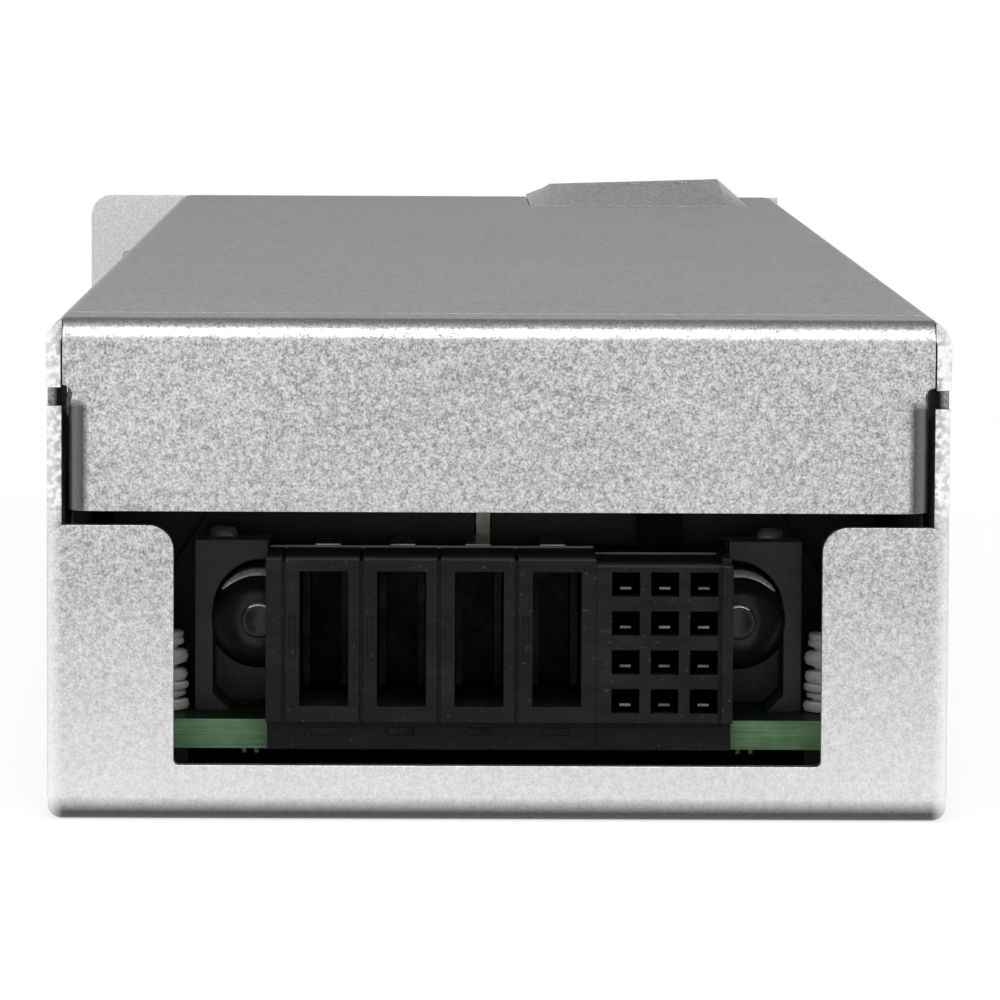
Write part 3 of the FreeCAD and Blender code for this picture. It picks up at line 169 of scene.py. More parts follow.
def zinc_grain():
    """Grain of galvanised sheet: crisp flakes and slow clouds, dust and painted shade above, painted light
    low down, painted shade at the foot.

    Places are in metres in the case's own frame. Corner turns on what only the case's front corners have,
    painted shadow in the slot and painted shade at the flap's bends among it.
    """
    group, w, given, out = effect(
        "zinc grain",
        [("Light", COLOUR, flat(0.7)), ("Dark", COLOUR, flat(0.4)), ("Grain", FLOAT, 4200.0),
         ("Contrast", FLOAT, 1.0), ("Cloud", FLOAT, 0.3), ("Roughness", FLOAT, 0.42), ("Depth", FLOAT, 0.25),
         ("Easing", FLOAT, 0.00012), ("Dust", FLOAT, 0.62), ("Low Painted Light", FLOAT, 0.42), ("Corner", FLOAT, 0.0)],
        [("Color", COLOUR), ("Roughness", FLOAT), ("Normal", VECTOR)])
    object_place = w.add("ShaderNodeTexCoord")
    place = object_place.outputs["Object"]
    across, depth, height = w.add("ShaderNodeSeparateXYZ", None, Vector=place).outputs
    normal = w.add("ShaderNodeSeparateXYZ", None, Vector=object_place.outputs["Normal"]).outputs
    low_light_mask = w.remap(height, *LOW_LIGHT_HEIGHTS, 1.0, 0.0)
    fine = w.noise(place, given["Grain"], detail=2.0, roughness=0.75)
    coarse = w.noise(place, w.maths("MULTIPLY", given["Grain"], 0.4), detail=1.0)
    cloud = w.noise(place, scale=38.0, detail=3.0)
    mixed = w.maths("ADD", w.maths("MULTIPLY", fine, 0.7), w.maths("MULTIPLY", coarse, 0.3))
    upward = w.remap(normal["Z"], 0.75, 0.98, 0.0, 1.0)
    crisp = w.maths("MULTIPLY", given["Contrast"], w.remap(height, *CASE_HEIGHTS, 0.7, 1.25))
    crisp = w.maths("MULTIPLY", crisp, w.remap(upward, 0.0, 1.0, 1.0, 0.45))
    centred = w.maths("MULTIPLY", w.maths("SUBTRACT", mixed, 0.5), crisp)
    slow = w.maths("MULTIPLY", w.maths("SUBTRACT", cloud, 0.5), given["Cloud"])
    tone = w.maths("ADD", w.maths("ADD", centred, slow), 0.5, clamp=True)
    # dust and painted shade: upward faces darken, more so towards the back
    dust_and_painted_light = w.maths("MULTIPLY", w.maths("MULTIPLY", upward, given["Dust"]),
                    w.remap(depth, *CASE_DEPTHS, 0.9, 1.15))
    # painted shade: the very foot turns near black, standing in for the dark reflection under the case
    foot_shade = w.remap(height, *FOOT_SHADE_HEIGHTS, 0.93, 0.0)
    colour = w.blend(tone, given["Dark"], given["Light"])
    # painted light: the lower part of each face turns paler, standing in for light thrown up from the floor
    colour = w.blend(w.maths("MULTIPLY", low_light_mask, given["Low Painted Light"]), colour, flat(0.95))
    colour = w.blend(dust_and_painted_light, colour, flat(0.08))
    colour = w.blend(foot_shade, colour, flat(0.045))
    # sheared front edges of the walls, from the foot of the cover's flap up to the top bend
    aside = w.maths("ABSOLUTE", across)
    forward = w.maths("MULTIPLY", given["Corner"], w.remap(normal["Y"], -0.8, -0.3, 1.0, 0.0))
    foremost = w.maths("MULTIPLY", forward, w.remap(depth, FRONT + 0.0015, FRONT + 0.0022, 1.0, 0.0))
    worn = w.blend(w.remap(coarse, 0.38, 0.6, 0.0, 1.0), flat(0.36), flat(0.93))
    outer = w.remap(aside, WALL_INSIDE, WALL_INSIDE + 0.00015, 0.0, 1.0)
    above = w.remap(height, *FLAP_FOOT_HEIGHTS, 0.0, 1.0)
    below_bend = w.remap(height, *TOP_BEND_HEIGHTS, 1.0, 0.15)
    sheared = w.maths("MULTIPLY", outer, w.maths("MULTIPLY", above, below_bend))
    rounded = w.remap(aside, HALF_WIDTH - 0.0013, HALF_WIDTH - 0.0004, 0.0, 1.0)
    colour = w.blend(w.maths("MULTIPLY", foremost, sheared), colour, worn)
    # outer bend of the front corners, rubbed bright
    rounded = w.maths("MULTIPLY", rounded, w.remap(depth, FRONT + 0.001, FRONT + 0.003, 0.55, 0.0))
    colour = w.blend(w.maths("MULTIPLY", given["Corner"], rounded), colour, flat(0.97))
    # painted shadow: the sheet in the slot between cover and tray is painted near black
    slot = w.maths("MULTIPLY", outer, w.remap(depth, FRONT + 0.0022, FRONT + 0.0025, 0.0, 1.0))
    slot = w.maths("MULTIPLY", slot, w.remap(depth, FRONT + 0.004, FRONT + 0.005, 1.0, 0.0))
    slot = w.maths("MULTIPLY", slot, w.remap(aside, HALF_WIDTH - 0.0008, HALF_WIDTH - 0.00035, 1.0, 0.45))
    colour = w.blend(w.maths("MULTIPLY", forward, w.maths("MULTIPLY", slot, above)), colour, flat(0.01))
    # painted shade at the tight bends where the flap's sides turn back
    bend = w.maths("MULTIPLY", w.remap(aside, *FLAP_BEND_SIDES, 0.0, 1.0), w.maths("SUBTRACT", 1.0, outer))
    bend = w.maths("MULTIPLY", bend, w.remap(height, *FLAP_BEND_HEIGHTS, 1.0, 0.0))
    bend = w.maths("MULTIPLY", bend, w.maths("MULTIPLY", above, given["Corner"]))
    bend = w.maths("MULTIPLY", bend, w.remap(depth, FRONT + 0.002, FRONT + 0.003, 0.95, 0.0))
    bend_shade_colour = w.blend(w.remap(aside, *FLAP_SHADE_SIDES, 0.0, 1.0), flat(0.06), flat(0.2))
    colour = w.blend(bend, colour, bend_shade_colour)
    rough = w.maths("ADD", given["Roughness"], w.maths("MULTIPLY", w.maths("SUBTRACT", 0.5, mixed), 0.7),
                    clamp=True)
    eased = w.add("ShaderNodeBevel", {"samples": 4}, Radius=given["Easing"]).outputs[0]
    bump = w.add("ShaderNodeBump", None, Strength=given["Depth"], Distance=0.00004, Height=mixed,
                 Normal=eased)
    w.feed(out, "Color", colour)
    w.feed(out, "Roughness", rough)
    w.feed(out, "Normal", bump.outputs[0])
    return group


def moulded_skin():
    """Moulded plastic: faint flow streaks, a fine spark-eroded skin and a few pale specks.

    What faces up above the dust height turns paler: dust, and painted light on lit tops. The undercut amount
    draws a painted shadow, a dark line along the foot of the front.
    """
    group, w, given, out = effect(
        "moulded skin",
        [("Base", COLOUR, flat(0.02)), ("Streak", COLOUR, flat(0.04)), ("Roughness", FLOAT, 0.45),
         ("Depth", FLOAT, 0.2), ("Specks", FLOAT, 0.5), ("Easing", FLOAT, 0.00015), ("Dust", FLOAT, 0.0),
         ("Dust Colour", COLOUR, flat(0.12)), ("Dust Height", FLOAT, 0.0), ("Undercut Shadow", FLOAT, 0.0)],
        [("Color", COLOUR), ("Roughness", FLOAT), ("Normal", VECTOR)])
    object_place = w.add("ShaderNodeTexCoord")
    place = object_place.outputs["Object"]
    normal = w.add("ShaderNodeSeparateXYZ", None, Vector=object_place.outputs["Normal"]).outputs
    height = w.add("ShaderNodeSeparateXYZ", None, Vector=place).outputs["Z"]
    skin = w.noise(place, scale=5200.0, detail=2.0)
    flow = w.noise(w.stretched(place, 260.0, 260.0, 900.0), scale=1.0, detail=3.0)
    cloud = w.noise(place, scale=160.0, detail=2.0)
    streak = w.remap(w.maths("MULTIPLY", flow, cloud), 0.18, 0.42, 0.0, 1.0)
    speck = w.remap(w.noise(place, scale=2300.0, detail=0.0), 0.74, 0.8, 0.0, 1.0)
    speck = w.maths("MULTIPLY", speck, given["Specks"])
    colour = w.blend(streak, given["Base"], given["Streak"])
    colour = w.blend(speck, colour, (0.18, 0.18, 0.17, 1))
    # dust and painted light: upward faces above the dust height turn paler, standing in for light on lit tops
    dust_and_painted_light = w.maths("MULTIPLY", w.remap(normal["Z"], 0.8, 0.95, 0.0, 1.0), given["Dust"])
    dust_and_painted_light = w.maths("MULTIPLY", dust_and_painted_light, w.maths("GREATER_THAN", height, given["Dust Height"]))
    colour = w.blend(dust_and_painted_light, colour, given["Dust Colour"])
    # painted shadow: a dark line along the foot of the front, under the connector's nose
    undercut_shadow = w.maths("MULTIPLY", w.remap(height, *UNDERCUT_FOOT_HEIGHTS, 0.0, 1.0),
                    w.remap(height, *UNDERCUT_TOP_HEIGHTS, 1.0, 0.0))
    undercut_shadow = w.maths("MULTIPLY", w.maths("MULTIPLY", undercut_shadow, given["Undercut Shadow"]),
                    w.remap(normal["Y"], -0.9, -0.7, 1.0, 0.0))
    colour = w.blend(undercut_shadow, colour, flat(0.0005))
    rough = w.maths("ADD", given["Roughness"], w.maths("MULTIPLY", w.maths("SUBTRACT", cloud, 0.5), 0.3),
                    clamp=True)
    eased = w.add("ShaderNodeBevel", {"samples": 4}, Radius=given["Easing"]).outputs[0]
    bump = w.add("ShaderNodeBump", None, Strength=given["Depth"], Distance=0.00003, Height=skin,
                 Normal=eased)
    w.feed(out, "Color", colour)
    w.feed(out, "Roughness", rough)
    w.feed(out, "Normal", bump.outputs[0])
    return group


def plated_metal():
    """Bright plated or drawn metal: fine marks along one direction and a slow tarnish."""
    group, w, given, out = effect(
        "plated metal",
        [("Clean", COLOUR, flat(0.8)), ("Tarnish", COLOUR, flat(0.5)), ("Roughness", FLOAT, 0.25),
         ("Depth", FLOAT, 0.1)],
        [("Color", COLOUR), ("Roughness", FLOAT), ("Normal", VECTOR)])
    place = w.add("ShaderNodeTexCoord").outputs["Object"]
    marks = w.noise(w.stretched(place, 3000.0, 500.0, 3000.0), scale=1.0, detail=3.0)
    slow = w.noise(place, scale=320.0, detail=3.0)
    colour = w.blend(w.remap(slow, 0.35, 0.7, 0.0, 1.0), given["Clean"], given["Tarnish"])
    rough = w.maths("ADD", given["Roughness"], w.maths("MULTIPLY", w.maths("SUBTRACT", marks, 0.5), 0.3),
                    clamp=True)
    bump = w.add("ShaderNodeBump", None, Strength=given["Depth"], Distance=0.00002, Height=marks)
    w.feed(out, "Color", colour)
    w.feed(out, "Roughness", rough)
    w.feed(out, "Normal", bump.outputs[0])
    return group


def glass_cloth():
    """Circuit board: dark green lacquer on its faces, deepened to near black as painted shade, laid cloth as
    thin level streaks on its cut edges.
    """
    group, w, given, out = effect(
        "glass cloth",
        [("Lacquer And Shade", COLOUR, (0.001, 0.003, 0.0012, 1)), ("Resin", COLOUR, (0.055, 0.122, 0.055, 1)),
         ("Cloth", COLOUR, (0.115, 0.196, 0.115, 1)), ("Roughness", FLOAT, 0.4)],
        [("Color", COLOUR), ("Roughness", FLOAT), ("Normal", VECTOR)])
    object_place = w.add("ShaderNodeTexCoord")
    place = object_place.outputs["Object"]
    layers = w.noise(w.stretched(place, 180.0, 180.0, 5200.0), scale=1.0, detail=3.0)
    patch = w.noise(place, scale=700.0, detail=2.0)
    mask = w.remap(w.maths("MULTIPLY", layers, w.maths("ADD", patch, 0.5)), 0.35, 0.7, 0.0, 1.0)
    facing = w.add("ShaderNodeSeparateXYZ", None, Vector=object_place.outputs["Normal"]).outputs["Z"]
    face = w.remap(w.maths("ABSOLUTE", facing), 0.6, 0.8, 0.0, 1.0)
    weave = w.noise(w.stretched(place, 1400.0, 1400.0, 200.0), scale=1.0, detail=1.0)
    edge = w.blend(mask, given["Resin"], given["Cloth"])
    # painted shade: the faces' lacquer is set near black to stand for the shade on the board's top
    lacquer_and_shade = w.blend(w.maths("MULTIPLY", weave, 0.06), given["Lacquer And Shade"], given["Resin"])
    w.feed(out, "Color", w.blend(face, edge, lacquer_and_shade))
    w.feed(out, "Roughness", w.maths("ADD", given["Roughness"], w.maths("MULTIPLY", mask, 0.15)))
    bump = w.add("ShaderNodeBump", None, Strength=0.15, Distance=0.00003, Height=layers)
    w.feed(out, "Normal", bump.outputs[0])
    return group


ZINC = zinc_grain()
MOULD = moulded_skin()
PLATE = plated_metal()
CLOTH = glass_cloth()


# ---- finishes -----------------------------------------------------------------------------------
def finish(name, group, values, metallic=0.0, **constants):
    """Material whose colour, roughness and normal come from one effect group."""
    material = bpy.data.materials.new(name)
    material.use_nodes = True
    tree = material.node_tree
    tree.nodes.clear()
    w = Wiring(tree)
    effect_node = w.add("ShaderNodeGroup", {"node_tree": group})
    for socket, value in values.items():
        effect_node.inputs[socket].default_value = value
    shader = w.add("ShaderNodeBsdfPrincipled", None, Base_Color=effect_node.outputs["Color"],
                   Roughness=effect_node.outputs["Roughness"], Normal=effect_node.outputs["Normal"],
                   Metallic=metallic)
    for socket, value in constants.items():
        shader.inputs[socket.replace("_", " ")].default_value = value
    output = w.add("ShaderNodeOutputMaterial")
    tree.links.new(shader.outputs[0], output.inputs["Surface"])
    return material


SHEET = {"Light": grey(0.78), "Dark": grey(0.24), "Grain": 4900.0, "Contrast": 3.0, "Roughness": 0.4,
         "Depth": 0.4}
FINISHES = {
    "galvanised_steel": finish("galvanised sheet", ZINC, SHEET, metallic=1.0),
    "spring_steel": finish("spring strip", ZINC,
        {"Light": grey(0.6), "Dark": grey(0.3), "Contrast": 1.4, "Roughness": 0.34,
         "Depth": 0.15}, metallic=1.0),
    "zinc_screw": finish("zinc plated screw", PLATE,
        {"Clean": grey(0.66), "Tarnish": grey(0.42)}, metallic=1.0),
    "nickel": finish("bright nickel", PLATE,
        {"Clean": (0.88, 0.87, 0.84, 1), "Tarnish": (0.7, 0.68, 0.64, 1), "Roughness": 0.16}, metallic=1.0),
    # painted light and painted shadow: the nose's roof turns paler above the dust height, and a dark line is
    # painted under its front
    "black_nylon": finish("glass-filled nylon", MOULD,
        {"Base": grey(0.0035), "Streak": grey(0.0085), "Specks": 0.1, "Dust": 0.55, "Dust Height": 0.0203,
         "Undercut Shadow": 1.0}, Specular_IOR_Level=0.13),
    "fan_plastic": finish("fan moulding", MOULD,
        {"Base": grey(0.01), "Streak": grey(0.016), "Roughness": 0.38}, Specular_IOR_Level=0.4),
    "contact_tin": finish("tinned contact", PLATE,
        {"Clean": (0.5, 0.48, 0.44, 1), "Tarnish": (0.26, 0.25, 0.22, 1), "Roughness": 0.3}, metallic=1.0),
    "film": finish("insulating film", MOULD,
        {"Base": grey(0.014), "Streak": grey(0.02), "Roughness": 0.34, "Depth": 0.08,
         "Specks": 0.05}, Specular_IOR_Level=0.45),
    "board_green": finish("board laminate", CLOTH, {}, Specular_IOR_Level=0.12),
    "can_sleeve": finish("can sleeve", MOULD,
        {"Base": (0.012, 0.014, 0.02, 1), "Streak": (0.02, 0.022, 0.03, 1), "Roughness": 0.28,
         "Depth": 0.05}),
    "copper": finish("tinned bar copper", PLATE,
        {"Clean": (0.3, 0.28, 0.26, 1), "Tarnish": (0.16, 0.13, 0.11, 1)}, metallic=1.0),
    "copper_wire": finish("enamelled wire", PLATE,
        {"Clean": (0.55, 0.2, 0.08, 1), "Tarnish": (0.35, 0.11, 0.05, 1)}, metallic=0.9),
    "ferrite": finish("ferrite", MOULD, {"Base": grey(0.03), "Streak": grey(0.05), "Roughness": 0.6}),
    "tape": finish("winding tape", MOULD,
        {"Base": (0.5, 0.38, 0.05, 1), "Streak": (0.6, 0.48, 0.1, 1), "Roughness": 0.3, "Specks": 0.1}),
    "aluminium": finish("heat sink aluminium", PLATE,
        {"Clean": grey(0.75), "Tarnish": grey(0.6), "Roughness": 0.35}, metallic=1.0),
    "package": finish("epoxy package", MOULD,
        {"Base": grey(0.015), "Streak": grey(0.025), "Roughness": 0.5}),
    "glass_tube": finish("fuse ceramic", MOULD,
        {"Base": (0.6, 0.58, 0.5, 1), "Streak": (0.66, 0.63, 0.56, 1)}),
    "lead_sleeve": finish("lead insulation", MOULD,
        {"Base": grey(0.02), "Streak": grey(0.03), "Roughness": 0.5}),
    "lamp_lens": finish("lamp lens", MOULD,
        {"Base": (0.2, 0.5, 0.2, 1), "Streak": (0.25, 0.55, 0.25, 1), "Roughness": 0.2, "Specks": 0.0}),
}
# painted shade: the power contacts are near black, standing in for the shade deep in their slots
SHADED_BLADE_FINISH = finish("contact blade painted dark as shade", PLATE,
    {"Clean": grey(0.018), "Tarnish": grey(0.006), "Roughness": 0.45}, metallic=1.0)
NODE_FINISHES = {
    "power_contacts": SHADED_BLADE_FINISH,
    # painted highlight: the guide posts' upward faces above the dust height turn pale grey
    "guide_housings": finish("guide nylon", MOULD,
        {"Base": grey(0.009), "Streak": grey(0.017), "Roughness": 0.3, "Specks": 0.1, "Dust": 1.0,
         "Dust Colour": grey(0.3), "Dust Height": 0.0188}, Specular_IOR_Level=0.25),
    "signal_contacts": finish("worn contact pin", PLATE,
        {"Clean": grey(0.2), "Tarnish": grey(0.08), "Roughness": 0.4}, metallic=1.0),
    "board_standoffs": finish("dull standoff", PLATE,
        {"Clean": grey(0.05), "Tarnish": grey(0.02), "Roughness": 0.45}, metallic=1.0),
    "insulator_liner": finish("pale worn film", MOULD,
        {"Base": grey(0.05), "Streak": grey(0.07), "Roughness": 0.34, "Depth": 0.08,
         "Specks": 0.05}, Specular_IOR_Level=0.45),
    "front_barrier": finish("dark film", MOULD,
        {"Base": grey(0.007), "Streak": grey(0.011), "Roughness": 0.34, "Depth": 0.08,
         "Specks": 0.05}, Specular_IOR_Level=0.35),
    "ear_screws": finish("dull screw head", PLATE,
        {"Clean": grey(0.8), "Tarnish": grey(0.55), "Roughness": 0.42}, metallic=0.3),
    "ac_end_panel": finish("panel sheet", ZINC,
        {"Light": grey(0.82), "Dark": grey(0.44), "Grain": 6800.0, "Contrast": 2.0, "Roughness": 0.36,
         "Depth": 0.3}, metallic=1.0),
}
# painted highlight: the nose's beads are near white to stand for a bright edge highlight
HIGHLIGHT_BEAD_FINISH = finish("nylon edge painted as highlight", MOULD,
    {"Base": grey(0.8), "Streak": grey(0.9), "Roughness": 0.2, "Depth": 0.05,
     "Specks": 0.0}, Specular_IOR_Level=0.6)
# Corner turns on the front-corner marks, painted shadow and painted shade among them
CASE_FINISH = finish("case sheet", ZINC, {**SHEET, "Corner": 1.0}, metallic=1.0)
NODE_FINISHES["chassis_tray"] = CASE_FINISH
NODE_FINISHES["top_cover"] = CASE_FINISH
# painted highlight: the guide posts' crescents are near white to stand for highlight arcs
HIGHLIGHT_LAND_FINISH = finish("painted highlight land", PLATE,
    {"Clean": grey(0.95), "Tarnish": grey(0.88), "Roughness": 0.3}, metallic=0.35)
STACK_FINISH = finish("bright plated stack", PLATE,
    {"Clean": (0.96, 0.96, 0.94, 1), "Tarnish": (0.86, 0.86, 0.84, 1),
     "Roughness": 0.2}, metallic=0.5, Specular_IOR_Level=0.9)
# painted light: the post tips are a lighter copy of the guide nylon
LIT_TIP_FINISH = finish("post tip painted lighter", MOULD,
    {"Base": grey(0.02), "Streak": grey(0.03), "Roughness": 0.3,
     "Specks": 0.05}, Specular_IOR_Level=0.3)


SLOTS = {entry["node"]: entry["material_slot"] for entry in frame["record"]["subparts"]}
BODIES = {node: body for body, nodes in frame["record"]["behaviour"]["bodies"].items() for node in nodes}


def dress_nodes():
    """Gives every fixed piece the finish of its material slot, with smooth bends and crisp corners."""
    for name, piece in frame["nodes"].items():
        piece.data.materials.clear()
        piece.data.materials.append(NODE_FINISHES.get(name, FINISHES[SLOTS[name]]))
        piece.data.polygons.foreach_set("use_smooth", [True] * len(piece.data.polygons))
        weld = piece.modifiers.new("weld seams", "WELD")
        weld.merge_threshold = 1e-6
        split = piece.modifiers.new("crisp corners", "EDGE_SPLIT")
        split.split_angle = math.radians(25)


# ---- small fittings -----------------------------------------------------------------------------
def loose_parts(node):
    """Lowest and highest corner of each separate solid of a node."""
    mesh = frame["nodes"][node].data
    places = [tuple(round(value / POINT_GRID) for value in vertex.co) for vertex in mesh.vertices]
    leader = {place: place for place in places}

    def find(place):
        while leader[place] != place:
            leader[place] = leader[leader[place]]
            place = leader[place]
        return place

    for polygon in mesh.polygons:
        first = find(places[polygon.vertices[0]])
        for index in polygon.vertices[1:]:
            leader[find(places[index])] = first
    clusters = {}
    for vertex, place in zip(mesh.vertices, places):
        clusters.setdefault(find(place), []).append(vertex.co)
    boxes = []
    for points in clusters.values():
        low = Vector([min(point[axis] for point in points) for axis in range(3)])
        high = Vector([max(point[axis] for point in points) for axis in range(3)])
        boxes.append((low, high))
    return sorted(boxes, key=lambda corners: tuple(corners[0]))


class Shell:
    """Mesh gathered from rings of points that are skinned one to the next."""

    def __init__(self):
        self.points = []
        self.faces = []

    def skin(self, rings, closed=False):
        start = len(self.points)
        count = len(rings[0])
        for ring in rings:
            self.points.extend(ring)
        steps = len(rings) if closed else len(rings) - 1
        for step in range(steps):
            near = start + step * count
            far = start + (step + 1) % len(rings) * count
            for index in range(count):
                following = (index + 1) % count
                self.faces.append((near + index, near + following, far + following, far + index))
        if not closed:
            self.faces.append(tuple(range(start + count - 1, start - 1, -1)))
            last = start + (len(rings) - 1) * count
            self.faces.append(tuple(range(last, last + count)))

    def piece(self, name, node, sharp=30, replaces=True):
        mesh = bpy.data.meshes.new(name)
        mesh.from_pydata(self.points, [], self.faces)
        mesh.validate()
        mesh.materials.append(NODE_FINISHES.get(node, FINISHES[SLOTS[node]]))
        mesh.shade_smooth()
        mesh.set_sharp_from_angle(angle=math.radians(sharp))
        made = bpy.data.objects.new(name, mesh)
        bpy.context.scene.collection.objects.link(made)
        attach(made, BODIES[node])
        if replaces:
            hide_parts(node)
        return made


def frame_on(origin, out):
    """A function that places a point, given as angle, radius and height, round an axis through origin."""
    out = Vector(out)
    side = out.orthogonal().normalized()
    across = out.cross(side)

    def at(angle, radius, height):
        return origin + (side * math.cos(angle) + across * math.sin(angle)) * radius + out * height

    return at


# turns from the middle of one arm of a cross recess: along its sides, over its end, and its inner corner
CROSS_SPREAD = 0.24
CROSS_TURNS = (-0.62, -0.43, -CROSS_SPREAD, 0.0, CROSS_SPREAD, 0.43, 0.62, math.pi / 4)
CROSS_ANGLES = [quarter * math.pi / 2 + turn for quarter in range(4) for turn in CROSS_TURNS]
CROSS_SHARE = 0.56


def cross_reach(angle, size):
    """Distance from the middle of a cross recess to its rim."""
    turn = (angle + math.pi / 4) % (math.pi / 2) - math.pi / 4
    if abs(turn) <= CROSS_SPREAD + 1e-6:
        return size / math.cos(turn)
    return size * math.tan(CROSS_SPREAD) / math.sin(abs(turn))


def cross_screw(shell, origin, out, profile, size, depth):
    """Screw turned from (radius, height) pairs up to its top face, with a cross recess in that face."""
    at = frame_on(origin, out)
    top = profile[-1][1]
    rings = [[at(angle, radius, height) for angle in CROSS_ANGLES] for radius, height in profile]
    for share, drop in ((1.0, 0.0), (0.9, 0.1), (0.62, 1.0)):
        level = top - depth * drop
        rings.append([at(angle, cross_reach(angle, size * share), level) for angle in CROSS_ANGLES])
    shell.skin(rings)


def head_out(low, high, axis):
    """Outward direction of a fastener's head along an axis of the case."""
    middle = (low + high) / 2
    centre = (cad_low + cad_high) / 2
    out = Vector((0, 0, 0))
    out[axis] = 1.0 if axis == 2 or middle[axis] > centre[axis] else -1.0
    return out


def flush_screws(node, axis):
    """Countersunk case screws, a hair under the sheet's face."""
    shell = Shell()
    for low, high in loose_parts(node):
        out = head_out(low, high, axis)
        length = (high - low)[axis]
        radius = (high - low)[(axis + 1) % 3] / 2
        origin = (low + high) / 2 + out * length / 2
        shank = radius * 0.5
        profile = [(shank * 0.8, -length), (shank, -length * 0.9), (shank, -length * 0.55),
                   (radius * 0.97, -0.06 * radius), (radius * 0.99, -0.03 * radius), (radius * 0.95, 0.0),
                   (radius * 0.72, 0.0)]
        cross_screw(shell, origin, out, profile, radius * CROSS_SHARE, radius * 0.42)
    shell.piece(node + "_cross", node)


def pan_screws(node, axis, cross=CROSS_SHARE):
    """Round-topped screws that stand on a face."""
    shell = Shell()
    for low, high in loose_parts(node):
        out = head_out(low, high, axis)
        tall = (high - low)[axis]
        radius = (high - low)[(axis + 1) % 3] / 2
        origin = (low + high) / 2 - out * tall / 2
        profile = [(radius * 0.98, 0.0), (radius, 0.1 * tall), (radius * 0.99, 0.4 * tall),
                   (radius * 0.93, 0.68 * tall), (radius * 0.82, 0.88 * tall), (radius * 0.68, 0.97 * tall),
                   (radius * 0.6, tall)]
        cross_screw(shell, origin, out, profile, radius * cross, tall * 0.62)
    shell.piece(node + "_cross", node)


def ring_stack(name, node, layers):
    """Pile of rounded rings round each stud; a layer is a share of the height and one of the radius."""
    shell = Shell()
    angles = [index * math.tau / 36 for index in range(36)]
    for low, high in loose_parts(node):
        outer = min(high.x - low.x, high.y - low.y) / 2
        bore = outer * 0.56
        base = low.z
        for share, reach in layers:
            tall = (high.z - low.z) * share
            rim = outer * reach
            origin = Vector(((low.x + high.x) / 2, (low.y + high.y) / 2, base))
            shoulder, corner = tall * 0.45, tall * 0.13
            profile = [(bore, 0.0), (rim - shoulder, 0.0), (rim - corner, corner), (rim, tall * 0.5),
                       (rim - corner, tall * 0.87), (rim - shoulder, tall), (bore, tall)]
            shell.skin([[origin + Vector((math.cos(angle) * radius, math.sin(angle) * radius, height))
                         for angle in angles] for radius, height in profile], closed=True)
            base += tall
    shell.piece(name, node, sharp=40).data.materials[0] = STACK_FINISH


def stud_threads():
    """Thread on the two studs that stand up through the board."""
    shell = Shell()
    board_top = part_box("main_board")[1].z
    pitch = 0.5 * MM
    taper_length = 0.5 * MM
    root, crest_height, taper = 1.51, 0.17, 0.22
    steps = 6
    count = 28
    tall_pillars = sorted(loose_parts("board_standoffs"), key=lambda corners: -corners[1].z)[:2]
    for low, high in tall_pillars:
        x, y = (low.x + high.x) / 2, (low.y + high.y) / 2
        rows = int((high.z - board_top) / pitch * steps)
        rings = []
        for row in range(rows + 1):
            z = board_top + row * pitch / steps
            left = max(0.0, 1.0 - (high.z - z) / taper_length)
            ring = []
            for index in range(count):
                angle = index * math.tau / count
                wave = (z / pitch - index / count) % 1.0
                crest = 1.0 - abs(wave - 0.5) * 2.0
                radius = (root + crest_height * min(1.0, crest * 1.25) - taper * left) * MM
                ring.append(Vector((x + radius * math.cos(angle), y + radius * math.sin(angle), z)))
            rings.append(ring)
        shell.skin(rings)
    shell.piece("stud_threads", "board_nuts", sharp=80, replaces=False)


def bead(shell, path, radius):
    """Thin round bead through a row of points that runs across the case."""
    angles = [index * math.tau / 10 for index in range(10)]
    rings = []
    for place in path:
        rings.append([place + Vector((0, math.cos(angle), math.sin(angle))) * radius for angle in angles])
    shell.skin(rings)


def nose_beads():
    """Fine moulded bead along the rear upper edge of each half of the connector's nose, pale as a painted
    highlight.
    """
    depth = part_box("power_housing")[0].y + 11.5 * MM
    for node, inset, drop in (("power_housing", 0.0, 0.0), ("signal_housing", 0.95, 0.5)):
        low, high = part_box(node)
        ends = (low.x + 0.1 * MM, high.x - inset * MM)
        shell = Shell()
        bead(shell, [Vector((x, depth, high.z - drop * MM)) for x in ends], 0.16 * MM)
        made = shell.piece(node + "_bead", node, sharp=60, replaces=False)
        made.data.materials[0] = HIGHLIGHT_BEAD_FINISH


def guide_posts():
    """Side and a function that places a point, for the left and the right guide post.

    The function takes a sideways, a rearward and an upward distance in millimetres from the tip's centre, and
    stops the point off where the nose of the connector covers the post.
    """
    low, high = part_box("guide_housings")
    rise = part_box("main_board")[1].z + POST_RISE
    nose_sides = (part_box("power_housing")[0].x - NOSE_GAP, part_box("signal_housing")[1].x + NOSE_GAP)
    for side, limit in zip((-1, 1), nose_sides):
        centre = Vector(((low.x + high.x) / 2 + side * POST_OFFSET, low.y, rise))
        stop = min if side < 0 else max

        def place(across, rearward, up, centre=centre, limit=limit, stop=stop):
            return Vector((stop(centre.x + across * MM, limit), centre.y + rearward * MM,
                           centre.z + up * MM))

        yield side, place


def guide_tips():
    """Turned tip with a chamfered rim on each guide post, in nylon made lighter than the post as painted
    light.
    """
    angles = [index * math.tau / 48 for index in range(48)]
    # radius and rearward distance in millimetres
    profile = [(0.05, -0.14), (0.85, -0.14), (1.0, -0.24), (1.28, -0.24), (1.46, -0.06), (1.5, 0.25),
               (1.5, 0.55)]
    shell = Shell()
    for _, place in guide_posts():
        shell.skin([[place(math.cos(angle) * radius, rearward, math.sin(angle) * radius) for angle in angles]
                    for radius, rearward in profile])
    shell.piece("guide_tips", "guide_housings", sharp=35, replaces=False).data.materials[0] = LIT_TIP_FINISH


